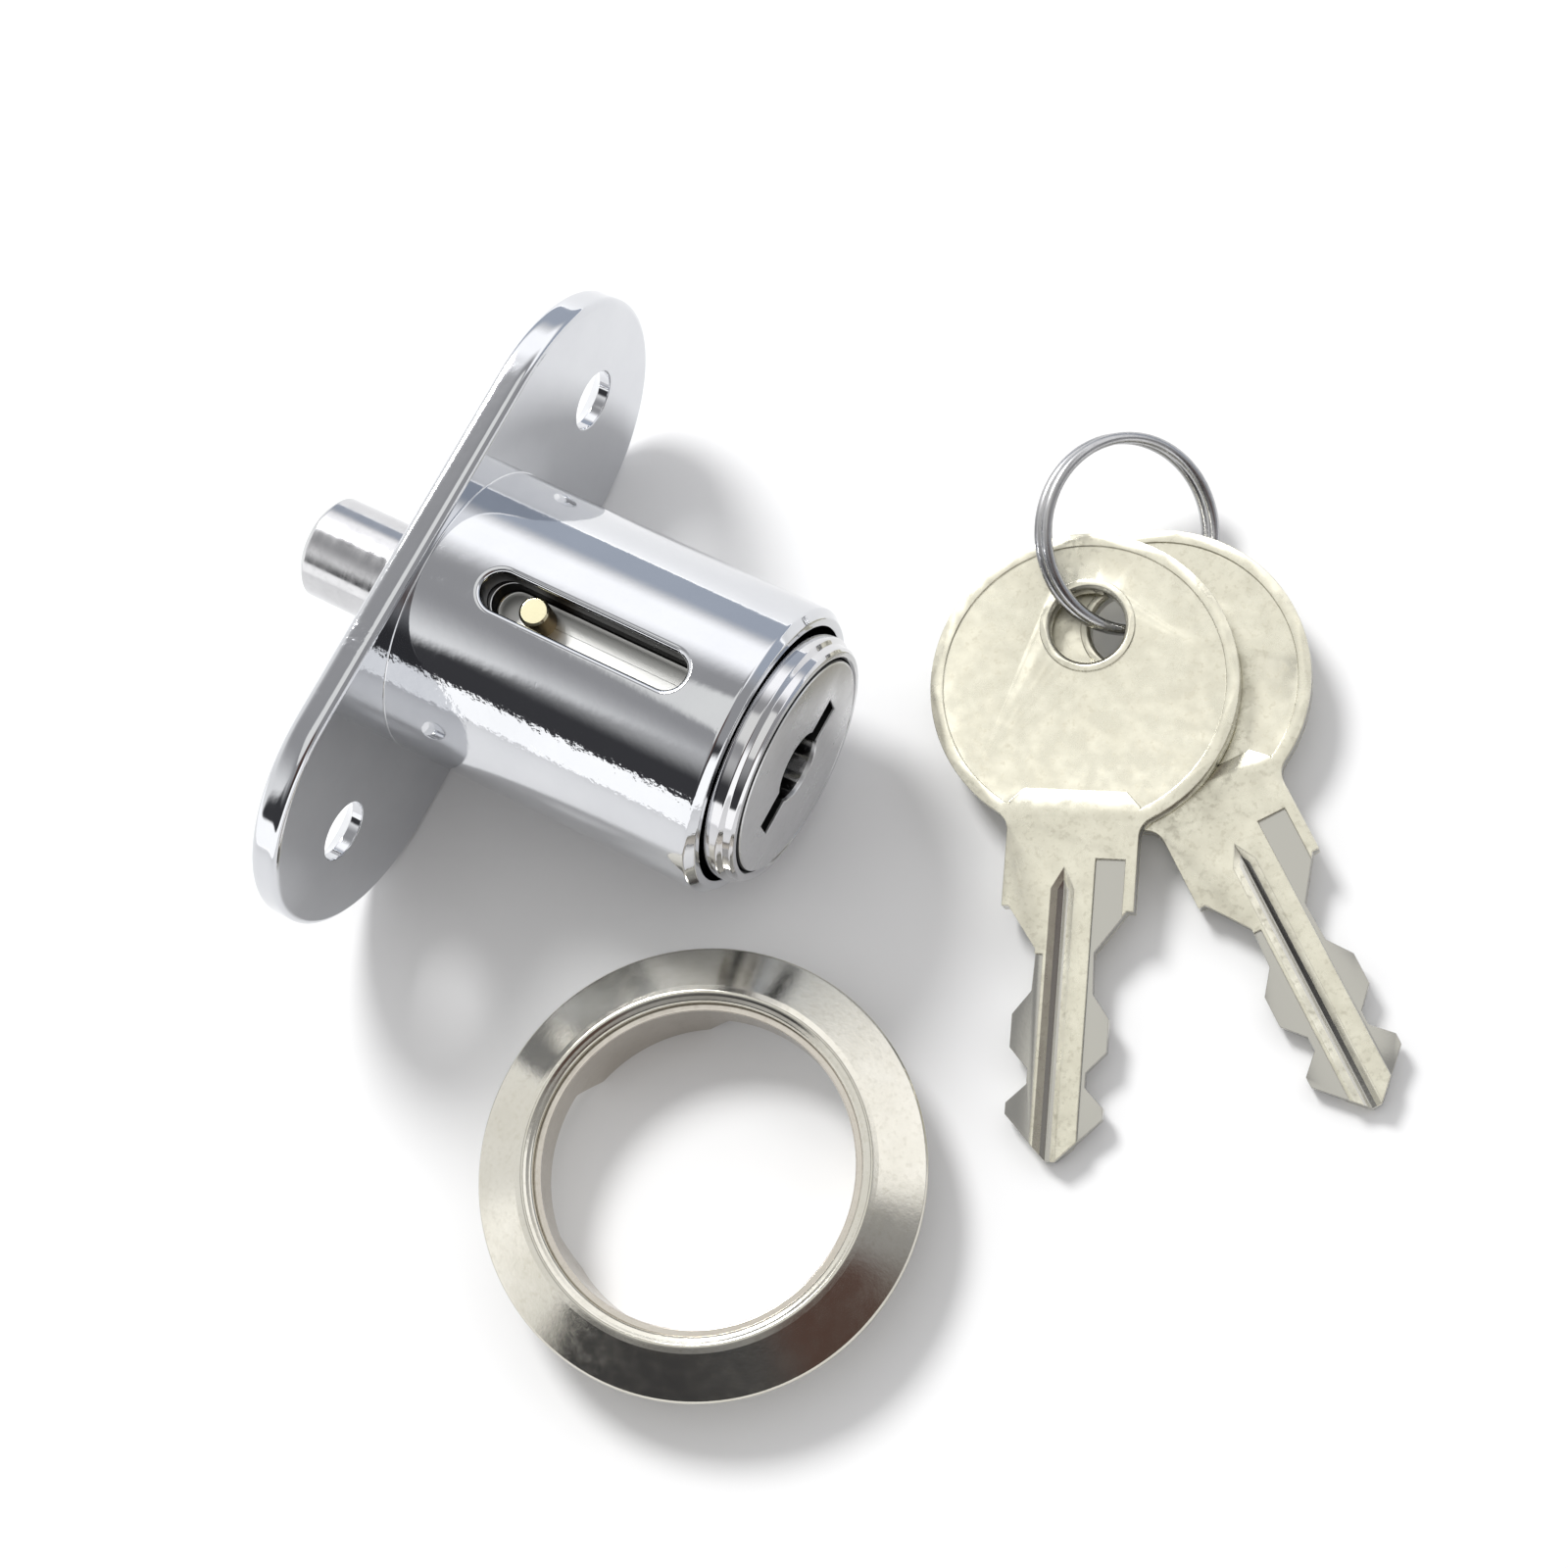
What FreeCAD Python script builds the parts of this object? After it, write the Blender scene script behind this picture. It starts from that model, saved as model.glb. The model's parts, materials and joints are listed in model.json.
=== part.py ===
"""Push-button lock for sliding and hinged doors, with its rosette and two keys on a split ring.

Millimetres. +X points out of the barrel towards the person with the key, +Y runs along the flange
and +Z points up. The origin lies on the barrel's axis, in the flange's front face. The lock lies on
one long side of its flange, and the rosette and the keys lie beside it on the same ground.
"""
import FreeCAD
import Part

import math
import os

import Sketcher
from FreeCAD import Placement, Rotation, Vector

SIZES = [
    # flange and barrel, cast in one piece
    ("flange_length", 44.8), ("flange_width", 20.4), ("flange_thickness", 2.0), ("flange_bevel", 0.4),
    ("screw_spacing", 32.0), ("screw_hole_dia", 4.0), ("countersink_dia", 7.2), ("countersink_depth", 1.2),
    ("barrel_dia", 19.0), ("barrel_length", 22.0), ("barrel_bore_dia", 15.6), ("rear_wall", 3.0),
    ("barrel_bevel", 0.45), ("mouth_gap", 0.35), ("mouth_depth", 3.4),
    ("slot_start", 3.9), ("slot_end_wall", 0.6), ("slot_width", 2.5),
    # clearances
    ("run_clearance", 0.08), ("side_clearance", 0.05), ("end_clearance", 0.3), ("seat_gap", 0.02),
    # push cylinder
    ("head_dia", 16.3), ("head_proud", 1.8), ("head_rear_gap", 0.4), ("head_step", 0.45), ("head_lip", 0.65),
    ("skirt_gap", 2.4), ("tail_bore_dia", 11.4),
    ("groove_width", 2.6), ("groove_floor", 6.3), ("groove_inset", 0.8), ("groove_end_gap", 0.3),
    # bolt and guide pin
    ("bolt_dia", 6.8), ("bolt_throw", 9.0), ("bolt_chamfer", 0.4), ("collar_length", 2.8),
    ("collar_inset", 2.0), ("recess_dia", 5.0), ("recess_depth", 1.3),
    ("pin_dia", 1.9), ("pin_inset", 1.8), ("pin_top", 8.3), ("pin_foot", 3.0), ("pin_chamfer", 0.15),
    # return spring
    ("spring_wire", 0.8), ("spring_gap", 0.4),
    # plug
    ("plug_face_dia", 14.1), ("plug_face_thickness", 1.5), ("plug_proud", 0.1), ("plug_chamfer", 0.15),
    ("plug_dia", 10.0), ("neck_dia", 8.0), ("clip_groove_dia", 7.2),
    ("clip_groove_width", 0.65), ("neck_land", 0.2), ("cam_seat_dia", 7.4), ("cam_seat_length", 0.95),
    ("cam_flats", 6.4), ("keyway_clearance", 0.1), ("keyway_side_gap", 0.15),
    ("mouth_slot_gap", 0.35), ("mouth_slot_depth", 0.7), ("mouth_round_dia", 4.6), ("mouth_round_depth", 2.4),
    # cam and clip on the plug's tail
    ("cam_thickness", 0.8), ("cam_base_dia", 8.6), ("cam_reach", 5.05), ("cam_lobe_width", 2.4),
    ("clip_thickness", 0.5), ("clip_gap", 0.35), ("clip_opening", 3.4),
    # wafers and their springs
    ("wafer_first", 3.3), ("wafer_last", 1.6), ("wafer_thickness", 0.9), ("wafer_width", 4.4),
    ("wafer_travel", 0.6), ("wafer_window", 1.9), ("wafer_window_reach", 3.25), ("wafer_key_gap", 0.1),
    ("lug_height", 1.2), ("lug_length", 1.0), ("lug_pocket_foot", 3.3),
    ("small_wire", 0.2), ("small_spring_dia", 0.76),
    # latch leaf
    ("leaf_thickness", 0.4), ("leaf_width", 3.0), ("leaf_floor", 6.9), ("leaf_setback", 1.2),
    ("nose_reach", 2.2), ("nose_length", 1.5), ("nose_depth", 0.95), ("nose_flare", 0.1),
    ("window_play", 0.1), ("window_depth", 0.85), ("channel_seat", 3.3), ("channel_relief", 0.75),
    ("hook_thickness", 0.7), ("hook_gap", 0.15), ("hook_strip", 0.55), ("hook_drop", 0.7), ("hook_foot", 1.0),
    ("leg_width", 2.4), ("rivet_dia", 1.0), ("rivet_head_dia", 1.8), ("rivet_head_height", 0.25),
    ("rivet_inset", 1.2), ("rivet_length", 1.0),
    # rosette
    ("rosette_x", 28.9), ("rosette_y", -23.97), ("rosette_brim", 3.2), ("rosette_edge_height", 4.0),
    ("rosette_sheet", 0.55), ("rosette_top", 5.95), ("bead_margin", 0.6), ("bead_width", 0.9),
    ("rosette_gap", 0.2), ("sleeve_wall", 0.45), ("sleeve_top", 5.2), ("collar_foot", 3.0),
    ("tab_gap", 12.0), ("tab_gap_top", 9.0), ("tab_length", 2.6), ("sleeve_turn", -37.0),
    # keys
    ("key_thickness", 1.5), ("key_head_dia", 19.4), ("key_head_offset", 3.74), ("key_hole_dia", 4.8),
    ("key_hole_bevel", 0.2), ("key_border", 0.8), ("key_recess", 0.12), ("key_hole_rim", 0.6),
    ("key_shoulder_width", 8.2), ("key_plate_start", 10.6), ("key_shoulder_end", 18.05),
    ("key_plate_bevel", 0.9), ("key_neck_rounding", 1.4), ("key_blade_length", 15.55),
    ("key_blade_width", 6.0), ("key_cut_width", 3.6), ("key_tip_width", 0.6),
    ("first_cut_start", 2.6), ("first_cut_end", 5.15), ("first_cut_rise", 0.1), ("first_bit_start", 6.65),
    ("first_bit_end", 8.7), ("second_cut_start", 10.0), ("second_cut_end", 10.9),
    ("second_bit_start", 12.1), ("second_bit_end", 12.8),
    ("key_vee_width", 1.5), ("key_vee_depth", 0.55), ("key_vee_offset", 0.35), ("key_vee_lead", 2.6),
    ("key_vee_entry", 1.4), ("key_vee_point", 0.08), ("key_step_depth", 0.4), ("key_step_lead", 3.2),
    ("key_step_inner", 1.55), ("key_step_outer", 3.4), ("key_late_step_place", 2.9),
    ("key_late_step_inner", 1.3), ("key_gap", 0.1),
    ("keys_slope", 6.25), ("keys_slope_towards", 80.2),
    ("back_key_x", 36.43), ("back_key_y", 18.7), ("back_key_turn", -37.55),
    ("front_key_dx", -0.93), ("front_key_dy", -2.18), ("front_key_turn", -30.1),
    # split ring
    ("ring_dia", 12.9), ("ring_wire", 0.8), ("ring_gap", 0.03), ("ring_step_turn", 25.0),
    ("ring_x", 33.84), ("ring_y", 23.9), ("ring_height", 4.47),
    ("ring_slope", 38.2), ("ring_slope_towards", -1.8), ("ring_start_turn", 60.0),
]

WAFERS = 5
COILS = 4

doc = FreeCAD.newDocument("push_button_lock")
sheet = doc.addObject("Spreadsheet::Sheet", "Sizes")
for row, (alias, number) in enumerate(SIZES, start=1):
    sheet.set(f"A{row}", alias)
    sheet.set(f"B{row}", str(number))
    sheet.setAlias(f"B{row}", alias)
doc.recompute()


class Sized:
    """A number together with the sheet expression that gives it."""

    def __init__(self, value, text):
        self.value = float(value)
        self.text = text

    def __add__(self, other):
        other = sized(other)
        return Sized(self.value + other.value, f"({self.text} + {other.text})")

    def __sub__(self, other):
        other = sized(other)
        return Sized(self.value - other.value, f"({self.text} - {other.text})")

    def __mul__(self, other):
        other = sized(other)
        return Sized(self.value * other.value, f"({self.text} * {other.text})")

    def __truediv__(self, other):
        other = sized(other)
        return Sized(self.value / other.value, f"({self.text} / {other.text})")

    def __neg__(self):
        return Sized(-self.value, f"(-1 * {self.text})")


def sized(number):
    """Give a plain number the form of a sized one."""
    if isinstance(number, Sized):
        return number
    return Sized(number, repr(float(number)))


def size(alias):
    """The sheet's size of that name."""
    return Sized(getattr(sheet, alias), f"Sizes.{alias}")


def bind(thing, prop, number):
    """Tie one property to the sheet."""
    number = sized(number)
    thing.setExpression(prop, number.text)


class Drawing:
    """A sketch on one of a body's own origin planes, moved along the plane's normal."""

    def __init__(self, body, plane_role, name, along=None):
        self.sketch = body.newObject("Sketcher::SketchObject", name)
        plane = next(p for p in body.Origin.OriginFeatures if p.Role == plane_role)
        self.sketch.AttachmentSupport = [(plane, "")]
        self.sketch.MapMode = "FlatFace"
        if along is not None:
            bind(self.sketch, "AttachmentOffset.Base.z", along)

    def fix(self, kind, where, number):
        """Constrain one size and tie it to the sheet."""
        number = sized(number)
        index = self.sketch.addConstraint(Sketcher.Constraint(kind, *where, number.value))
        self.sketch.setExpression(f"Constraints[{index}]", number.text)

    def fix_point(self, geometry, point, across, up):
        self.fix("DistanceX", (-1, 1, geometry, point), across)
        self.fix("DistanceY", (-1, 1, geometry, point), up)

    def polygon(self, corners):
        """A closed outline of straight edges through the corners."""
        corners = [(sized(a), sized(b)) for a, b in corners]
        first = self.sketch.GeometryCount
        count = len(corners)
        for number, (a, b) in enumerate(corners):
            c, d = corners[(number + 1) % count]
            start, end = Vector(a.value, b.value, 0), Vector(c.value, d.value, 0)
            self.sketch.addGeometry(Part.LineSegment(start, end))
        for number in range(count):
            following = first + (number + 1) % count
            self.sketch.addConstraint(Sketcher.Constraint("Coincident", first + number, 2, following, 1))
        for number, (a, b) in enumerate(corners):
            self.fix_point(first + number, 1, a, b)
        return self

    def rectangle(self, low_a, low_b, high_a, high_b):
        return self.polygon([(low_a, low_b), (high_a, low_b), (high_a, high_b), (low_a, high_b)])

    def circle(self, across, up, dia):
        across, up, dia = sized(across), sized(up), sized(dia)
        middle = Vector(across.value, up.value, 0)
        ring = self.sketch.addGeometry(Part.Circle(middle, Vector(0, 0, 1), dia.value / 2))
        self.fix_point(ring, 3, across, up)
        self.fix("Radius", (ring,), dia / 2)
        return self

    def obround(self, first, second, width):
        """A slot outline: half circles of that width about the two centres, joined by straight sides."""
        (a, b), (c, d) = ((sized(p), sized(q)) for p, q in (first, second))
        width = sized(width)
        turn = math.atan2(d.value - b.value, c.value - a.value)
        radius = width.value / 2
        side = Vector(-math.sin(turn), math.cos(turn), 0) * radius
        start, end = Vector(a.value, b.value, 0), Vector(c.value, d.value, 0)
        quarter = math.pi / 2
        up = Vector(0, 0, 1)
        arc_one = Part.ArcOfCircle(Part.Circle(start, up, radius), turn + quarter, turn + 3 * quarter)
        arc_two = Part.ArcOfCircle(Part.Circle(end, up, radius), turn - quarter, turn + quarter)
        one = self.sketch.addGeometry(arc_one)
        low = self.sketch.addGeometry(Part.LineSegment(start - side, end - side))
        two = self.sketch.addGeometry(arc_two)
        high = self.sketch.addGeometry(Part.LineSegment(end + side, start + side))
        for joint in ((one, 2, low, 1), (low, 2, two, 1), (two, 2, high, 1), (high, 2, one, 1)):
            self.sketch.addConstraint(Sketcher.Constraint("Tangent", *joint))
        self.sketch.addConstraint(Sketcher.Constraint("Equal", one, two))
        self.fix_point(one, 3, a, b)
        self.fix_point(two, 3, c, d)
        self.fix("Radius", (one,), width / 2)
        return self

    def wire(self, across, up, dia, sides):
        """The section of a wire, as an even-sided outline inside its round."""
        radius = sized(dia) / 2
        turns = [2 * math.pi * (corner + 0.5) / sides for corner in range(sides)]
        return self.polygon([(radius * math.cos(t) + across, radius * math.sin(t) + up) for t in turns])

    def axis(self, start, end):
        """A construction line to turn a profile about."""
        (a, b), (c, d) = ((sized(p), sized(q)) for p, q in (start, end))
        line = Part.LineSegment(Vector(a.value, b.value, 0), Vector(c.value, d.value, 0))
        number = self.sketch.addGeometry(line, True)
        self.fix_point(number, 1, a, b)
        self.fix_point(number, 2, c, d)
        return self


def new_body(name):
    body = doc.addObject("PartDesign::Body", name)
    body.Label = name
    return body


def revolve(body, name, drawing, axis="H_Axis", angle=360.0):
    """Turn a drawn profile about one of its sketch's lines."""
    turned = body.newObject("PartDesign::Revolution", name)
    turned.Profile = drawing.sketch
    turned.ReferenceAxis = (drawing.sketch, [axis])
    bind(turned, "Angle", angle)
    return turned


def pad(body, name, drawing, length, centred=False, backwards=False):
    made = body.newObject("PartDesign::Pad", name)
    made.Profile = drawing.sketch
    bind(made, "Length", length)
    made.Midplane = centred
    made.Reversed = backwards
    return made


def pocket(body, name, drawing, length, centred=False, forwards=False):
    """Cut a drawn outline away, against the sketch's normal unless it is to go forwards."""
    made = body.newObject("PartDesign::Pocket", name)
    made.Profile = drawing.sketch
    bind(made, "Length", length)
    made.Midplane = centred
    made.Reversed = forwards
    return made


def edges_where(feature, test):
    """Names of the feature's edges whose middle and ends all pass the test."""
    doc.recompute()
    names = []
    for number, edge in enumerate(feature.Shape.Edges, start=1):
        points = [vertex.Point for vertex in edge.Vertexes]
        points.append(edge.valueAt((edge.FirstParameter + edge.LastParameter) / 2))
        if all(test(point) for point in points):
            names.append(f"Edge{number}")
    return names


def dress(body, kind, name, feature, test, prop, number):
    """Round or bevel the edges that pass the test."""
    made = body.newObject(f"PartDesign::{kind}", name)
    made.Base = (feature, edges_where(feature, test))
    bind(made, prop, number)
    return made


def near(number, target, within=0.01):
    return abs(number - target) < within


def block(name, low, high):
    """A Part box between two corners given as sized numbers."""
    made = doc.addObject("Part::Box", name)
    low = [sized(n) for n in low]
    high = [sized(n) for n in high]
    for prop, a, b in zip(("Length", "Width", "Height"), low, high):
        bind(made, prop, b - a)
    for letter, a in zip("xyz", low):
        bind(made, f"Placement.Base.{letter}", a)
    return made


def rod(name, dia, start, end, along="x", centre=(0, 0)):
    """A Part cylinder along X or Z, from start to end, at the centre in the other two directions."""
    made = doc.addObject("Part::Cylinder", name)
    bind(made, "Radius", sized(dia) / 2)
    bind(made, "Height", sized(end) - start)
    if along == "x":
        made.Placement = Placement(Vector(), Rotation(Vector(0, 1, 0), 90))
        letters = "xyz"
    else:
        letters = "zxy"
    for letter, number in zip(letters, (start, *centre)):
        bind(made, f"Placement.Base.{letter}", number)
    return made


def combine(kind, name, first, second):
    made = doc.addObject(f"Part::{kind}", name)
    made.Base = first
    made.Tool = second
    return made


def wound(name, dia, wire, sides, length, turns, steps):
    """A coil spring about Z: straight lengths of wire between sections, so many steps to a turn."""
    radius = sized(dia) / 2
    rise = sized(length) / (turns * steps)
    sections = []
    for step in range(turns * steps + 1):
        section = doc.addObject("Part::RegularPolygon", f"{name}_section_{step + 1}")
        section.Polygon = sides
        bind(section, "Circumradius", sized(wire) / 2)
        turn = Rotation(Vector(0, 0, 1), 360 * step / steps)
        section.Placement = Placement(Vector(), turn * Rotation(Vector(1, 0, 0), 90))
        outwards = turn.multVec(Vector(1, 0, 0))
        for letter, place in (("x", radius * outwards.x), ("y", radius * outwards.y), ("z", rise * step)):
            bind(section, f"Placement.Base.{letter}", place)
        sections.append(section)
    coil = doc.addObject("Part::Loft", name)
    coil.Sections = sections
    coil.Solid = True
    coil.Ruled = True
    return coil


# Places along the axis that more than one piece uses
barrel_radius = size("barrel_dia") / 2
bore_radius = size("barrel_bore_dia") / 2
wall_face = size("rear_wall") - size("flange_thickness")
mouth_floor = size("barrel_length") - size("mouth_depth")
cylinder_radius = bore_radius - size("run_clearance")
cylinder_rear = wall_face + size("skirt_gap")
head_rear = mouth_floor + size("head_rear_gap")
head_front = size("barrel_length") + size("head_proud")
collar_rear = cylinder_rear + size("collar_inset")
collar_front = collar_rear + size("collar_length")
plug_face = head_front + size("plug_proud")
plug_radius = size("plug_dia") / 2
plug_seat = plug_face - size("plug_face_thickness")
tail_end = collar_front + size("end_clearance")
cam_front = tail_end + size("cam_seat_length")
clip_groove_rear = cam_front + size("neck_land")
plug_rear = clip_groove_rear + size("clip_groove_width")
tail_bore_end = plug_rear - size("side_clearance")
plug_bore_radius = plug_radius + size("run_clearance")
wafer_reach = plug_radius - size("side_clearance")
wafer_groove = wafer_reach + size("wafer_travel") + size("side_clearance") * 2
wafer_half = size("wafer_width") / 2
lug_tip = wafer_half + size("lug_height")
lug_half = size("lug_length") / 2
key_stop = plug_face - size("mouth_slot_depth")
wafer_pitch = (key_stop - size("wafer_first") - plug_rear - size("wafer_last")) / (WAFERS - 1)
pin_place = collar_rear + size("pin_inset")
groove_start = cylinder_rear + size("groove_inset")
slot_end = mouth_floor - size("slot_end_wall")
leaf_inner = -size("leaf_floor")
leaf_outer = leaf_inner - size("leaf_thickness")
leaf_front = head_rear - size("leaf_setback")
leaf_rear = cam_front - size("cam_thickness") + size("side_clearance")
nose_front = leaf_rear + size("nose_reach")
nose_rear = nose_front - size("nose_length")
rivet_place = leaf_front - size("rivet_inset")
nose_tip = leaf_outer - size("nose_depth")
ground = -size("flange_width") / 2
mouth_dia = size("head_dia") + size("mouth_gap") * 2
keyway_length = size("key_blade_width") + size("keyway_clearance") * 2
keyway_width = size("key_thickness") + size("keyway_side_gap") * 2
mouth_slot_length = size("key_shoulder_width") + size("mouth_slot_gap") * 2
clip_dia = size("tail_bore_dia") - size("clip_gap") * 2
hook_inner_dia = size("cam_base_dia") + size("hook_gap") * 2
rosette_bore = size("barrel_dia") + size("rosette_gap") * 2
collar_radius = rosette_bore / 2 + size("sleeve_wall")
bead_radius = collar_radius + size("bead_margin")
rosette_radius = bead_radius + size("rosette_brim")
ring_pitch = size("ring_wire") + size("ring_gap")
spring_dia = size("tail_bore_dia") - size("spring_wire") - size("spring_gap") * 2

# The key's edge from its shoulder to its tip: how far along, and the half width there
cut_half = size("key_cut_width") / 2
bit_half = size("key_blade_width") / 2
KEY_EDGE = [
    (sized(0), size("key_shoulder_width") / 2 - size("key_plate_bevel") / 2),
    (size("first_cut_start"), cut_half),
    (size("first_cut_end"), cut_half + size("first_cut_rise")),
    (size("first_bit_start"), bit_half), (size("first_bit_end"), bit_half),
    (size("second_cut_start"), cut_half), (size("second_cut_end"), cut_half),
    (size("second_bit_start"), bit_half), (size("second_bit_end"), bit_half),
    (size("key_blade_length"), size("key_tip_width") / 2)]


def wafer_place(number):
    """How far along the axis one wafer's middle lies."""
    return key_stop - size("wafer_first") - wafer_pitch * number


def key_half_width(number):
    """Half the key's width where one wafer meets it, read off the key's edge."""
    place = size("wafer_first") + wafer_pitch * number
    for (start, low), (end, high) in zip(KEY_EDGE, KEY_EDGE[1:]):
        if place.value <= end.value:
            break
    return low + (high - low) * ((place - start) / (end - start))


def make_housing():
    """Flange and barrel, with the slot, the mouth, the bolt hole and the latch window."""
    body = new_body("housing")
    end = (size("flange_length") - size("flange_width")) / 2
    flange = Drawing(body, "YZ_Plane", "flange_outline")
    flange.obround((-end, 0), (end, 0), size("flange_width"))
    plate = pad(body, "flange", flange, size("flange_thickness"), backwards=True)
    dress(body, "Chamfer", "flange_rim", plate,
          lambda p: near(p.x, 0) or near(p.x, -sheet.flange_thickness), "Size", size("flange_bevel"))
    tube = Drawing(body, "XY_Plane", "barrel_profile")
    tube.rectangle(-size("flange_thickness"), 0, size("barrel_length"), barrel_radius)
    barrel = revolve(body, "barrel", tube)
    dress(body, "Chamfer", "barrel_front_edge", barrel,
          lambda p: near(p.x, sheet.barrel_length), "Size", size("barrel_bevel"))
    bore = Drawing(body, "YZ_Plane", "bore_circle", along=wall_face)
    bore.circle(0, 0, size("barrel_bore_dia"))
    pocket(body, "bore", bore, size("barrel_length"), forwards=True)
    mouth = Drawing(body, "YZ_Plane", "mouth_circle", along=mouth_floor)
    mouth.circle(0, 0, mouth_dia)
    pocket(body, "mouth", mouth, size("barrel_length"), forwards=True)
    bolt_hole = Drawing(body, "YZ_Plane", "bolt_hole_circle")
    bolt_hole.circle(0, 0, size("bolt_dia") + size("run_clearance") * 2)
    pocket(body, "bolt_hole", bolt_hole, size("barrel_length"), centred=True)
    slot = Drawing(body, "XY_Plane", "slot_outline")
    inset = size("slot_width") / 2
    slot.obround((size("slot_start") + inset, 0), (slot_end - inset, 0), size("slot_width"))
    pocket(body, "slot", slot, size("barrel_dia"), forwards=True)
    window = Drawing(body, "XZ_Plane", "latch_window_outline")
    window.rectangle(nose_rear - size("window_play"), -bore_radius - size("window_depth"),
                     nose_front + size("window_play"), 0)
    last = pocket(body, "latch_window", window, size("leaf_width") + size("side_clearance") * 6, centred=True)
    for side, sign in (("left", -1), ("right", 1)):
        place = size("screw_spacing") / 2 * sign
        through = Drawing(body, "YZ_Plane", f"{side}_screw_circle")
        through.circle(place, 0, size("screw_hole_dia"))
        drilled = pocket(body, f"{side}_screw_hole", through, size("flange_thickness") * 4, centred=True)
        edge = edges_where(drilled, lambda p, at=place.value: near(p.x, -sheet.flange_thickness)
                           and near(math.hypot(p.y - at, p.z), sheet.screw_hole_dia / 2))
        last = body.newObject("PartDesign::Chamfer", f"{side}_countersink")
        last.Base = (drilled, edge)
        last.ChamferType = "Two distances"
        bind(last, "Size", size("countersink_depth"))
        bind(last, "Size2", (size("countersink_dia") - size("screw_hole_dia")) / 2)
        last.FlipDirection = False
        body.Tip = last
    return body


def make_push_cylinder():
    """The button: a sleeve with a stepped head, a pin groove on top and the latch channel below."""
    body = new_body("push_cylinder")
    head = size("head_dia") / 2
    recess = size("plug_face_dia") / 2 + size("run_clearance")
    seat = plug_seat - size("side_clearance")
    step = size("head_step")
    lip_radius = recess + size("head_lip")
    profile = Drawing(body, "XY_Plane", "sleeve_profile")
    profile.polygon([
        (cylinder_rear, size("tail_bore_dia") / 2), (cylinder_rear, cylinder_radius),
        (head_rear, cylinder_radius), (head_rear, head),
        (head_front - step * 2, head), (head_front - step * 1.4, lip_radius),
        (head_front - step * 0.4, lip_radius), (head_front, lip_radius - step * 0.4),
        (head_front, recess), (seat, recess), (seat, plug_bore_radius),
        (tail_bore_end, plug_bore_radius), (tail_bore_end, size("tail_bore_dia") / 2)])
    revolve(body, "sleeve", profile)
    half = size("groove_width") / 2
    groove = Drawing(body, "XY_Plane", "pin_groove_outline", along=size("groove_floor"))
    groove.obround((groove_start + half, 0), (head_rear - size("groove_end_gap") - half, 0),
                   size("groove_width"))
    pocket(body, "pin_groove", groove, size("barrel_dia"), forwards=True)
    pin_hole = Drawing(body, "XY_Plane", "pin_hole_circle", along=size("groove_floor"))
    pin_hole.circle(pin_place, 0, size("pin_dia"))
    pocket(body, "pin_hole", pin_hole, size("groove_floor") - size("pin_foot"))
    wafer_side = wafer_half + size("side_clearance") * 2
    rear = wafer_place(WAFERS - 1) - size("wafer_thickness") - size("end_clearance")
    for name, across, up in (("flat", wafer_groove, wafer_side), ("upright", wafer_side, wafer_groove)):
        cross = Drawing(body, "YZ_Plane", f"{name}_wafer_groove_outline", along=rear)
        cross.rectangle(-across, -up, across, up)
        pocket(body, f"{name}_wafer_grooves", cross, seat - rear, forwards=True)
    channel = Drawing(body, "XZ_Plane", "leaf_channel_outline")
    deep = leaf_inner + size("channel_relief")
    channel_rear = leaf_rear - size("end_clearance")
    channel_front = leaf_front + size("side_clearance")
    channel.polygon([
        (channel_rear, -barrel_radius), (channel_rear, deep),
        (nose_rear, deep), (leaf_front - size("channel_seat"), leaf_inner),
        (channel_front, leaf_inner), (channel_front, -barrel_radius)])
    channel_width = size("leaf_width") + size("side_clearance") * 4
    pocket(body, "leaf_channel", channel, channel_width, centred=True)
    opening = Drawing(body, "XZ_Plane", "hook_opening_outline")
    opening.rectangle(channel_rear, leaf_inner, leaf_rear + size("hook_thickness") + size("end_clearance"),
                      -size("tail_bore_dia") / 2 + size("channel_relief"))
    pocket(body, "hook_opening", opening, size("leg_width") + size("side_clearance") * 8, centred=True)
    rivet_hole = Drawing(body, "XY_Plane", "rivet_hole_circle", along=leaf_inner)
    rivet_hole.circle(rivet_place, 0, size("rivet_dia"))
    body.Tip = pocket(body, "rivet_hole", rivet_hole, size("rivet_length"), forwards=True)
    return body


def make_bolt():
    """The locking bolt, turned with a collar that closes the push cylinder's tail."""
    body = new_body("bolt")
    tip = -size("flange_thickness") - size("bolt_throw")
    radius = size("bolt_dia") / 2
    collar = size("tail_bore_dia") / 2
    recess = size("recess_dia") / 2
    recess_floor = collar_front - size("recess_depth")
    profile = Drawing(body, "XY_Plane", "bolt_profile")
    profile.polygon([
        (tip, 0), (tip, radius - size("bolt_chamfer")), (tip + size("bolt_chamfer"), radius),
        (collar_rear, radius), (collar_rear, collar), (collar_front, collar),
        (collar_front, recess), (recess_floor, recess), (recess_floor, 0)])
    revolve(body, "turned_bolt", profile)
    pin_hole = Drawing(body, "XY_Plane", "bolt_pin_hole_circle", along=size("pin_foot"))
    pin_hole.circle(pin_place, 0, size("pin_dia"))
    body.Tip = pocket(body, "bolt_pin_hole", pin_hole, size("tail_bore_dia"), forwards=True)
    return body


def make_guide_pin():
    """Brass pin that holds the bolt in the push cylinder and rides in the barrel's slot."""
    body = new_body("guide_pin")
    outline = Drawing(body, "XY_Plane", "guide_pin_circle", along=size("pin_foot"))
    outline.circle(pin_place, 0, size("pin_dia"))
    shank = pad(body, "guide_pin_shank", outline, size("pin_top") - size("pin_foot"))
    body.Tip = dress(body, "Chamfer", "guide_pin_bevel", shank,
                     lambda p: near(p.z, sheet.pin_top), "Size", size("pin_chamfer"))
    return body


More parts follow.
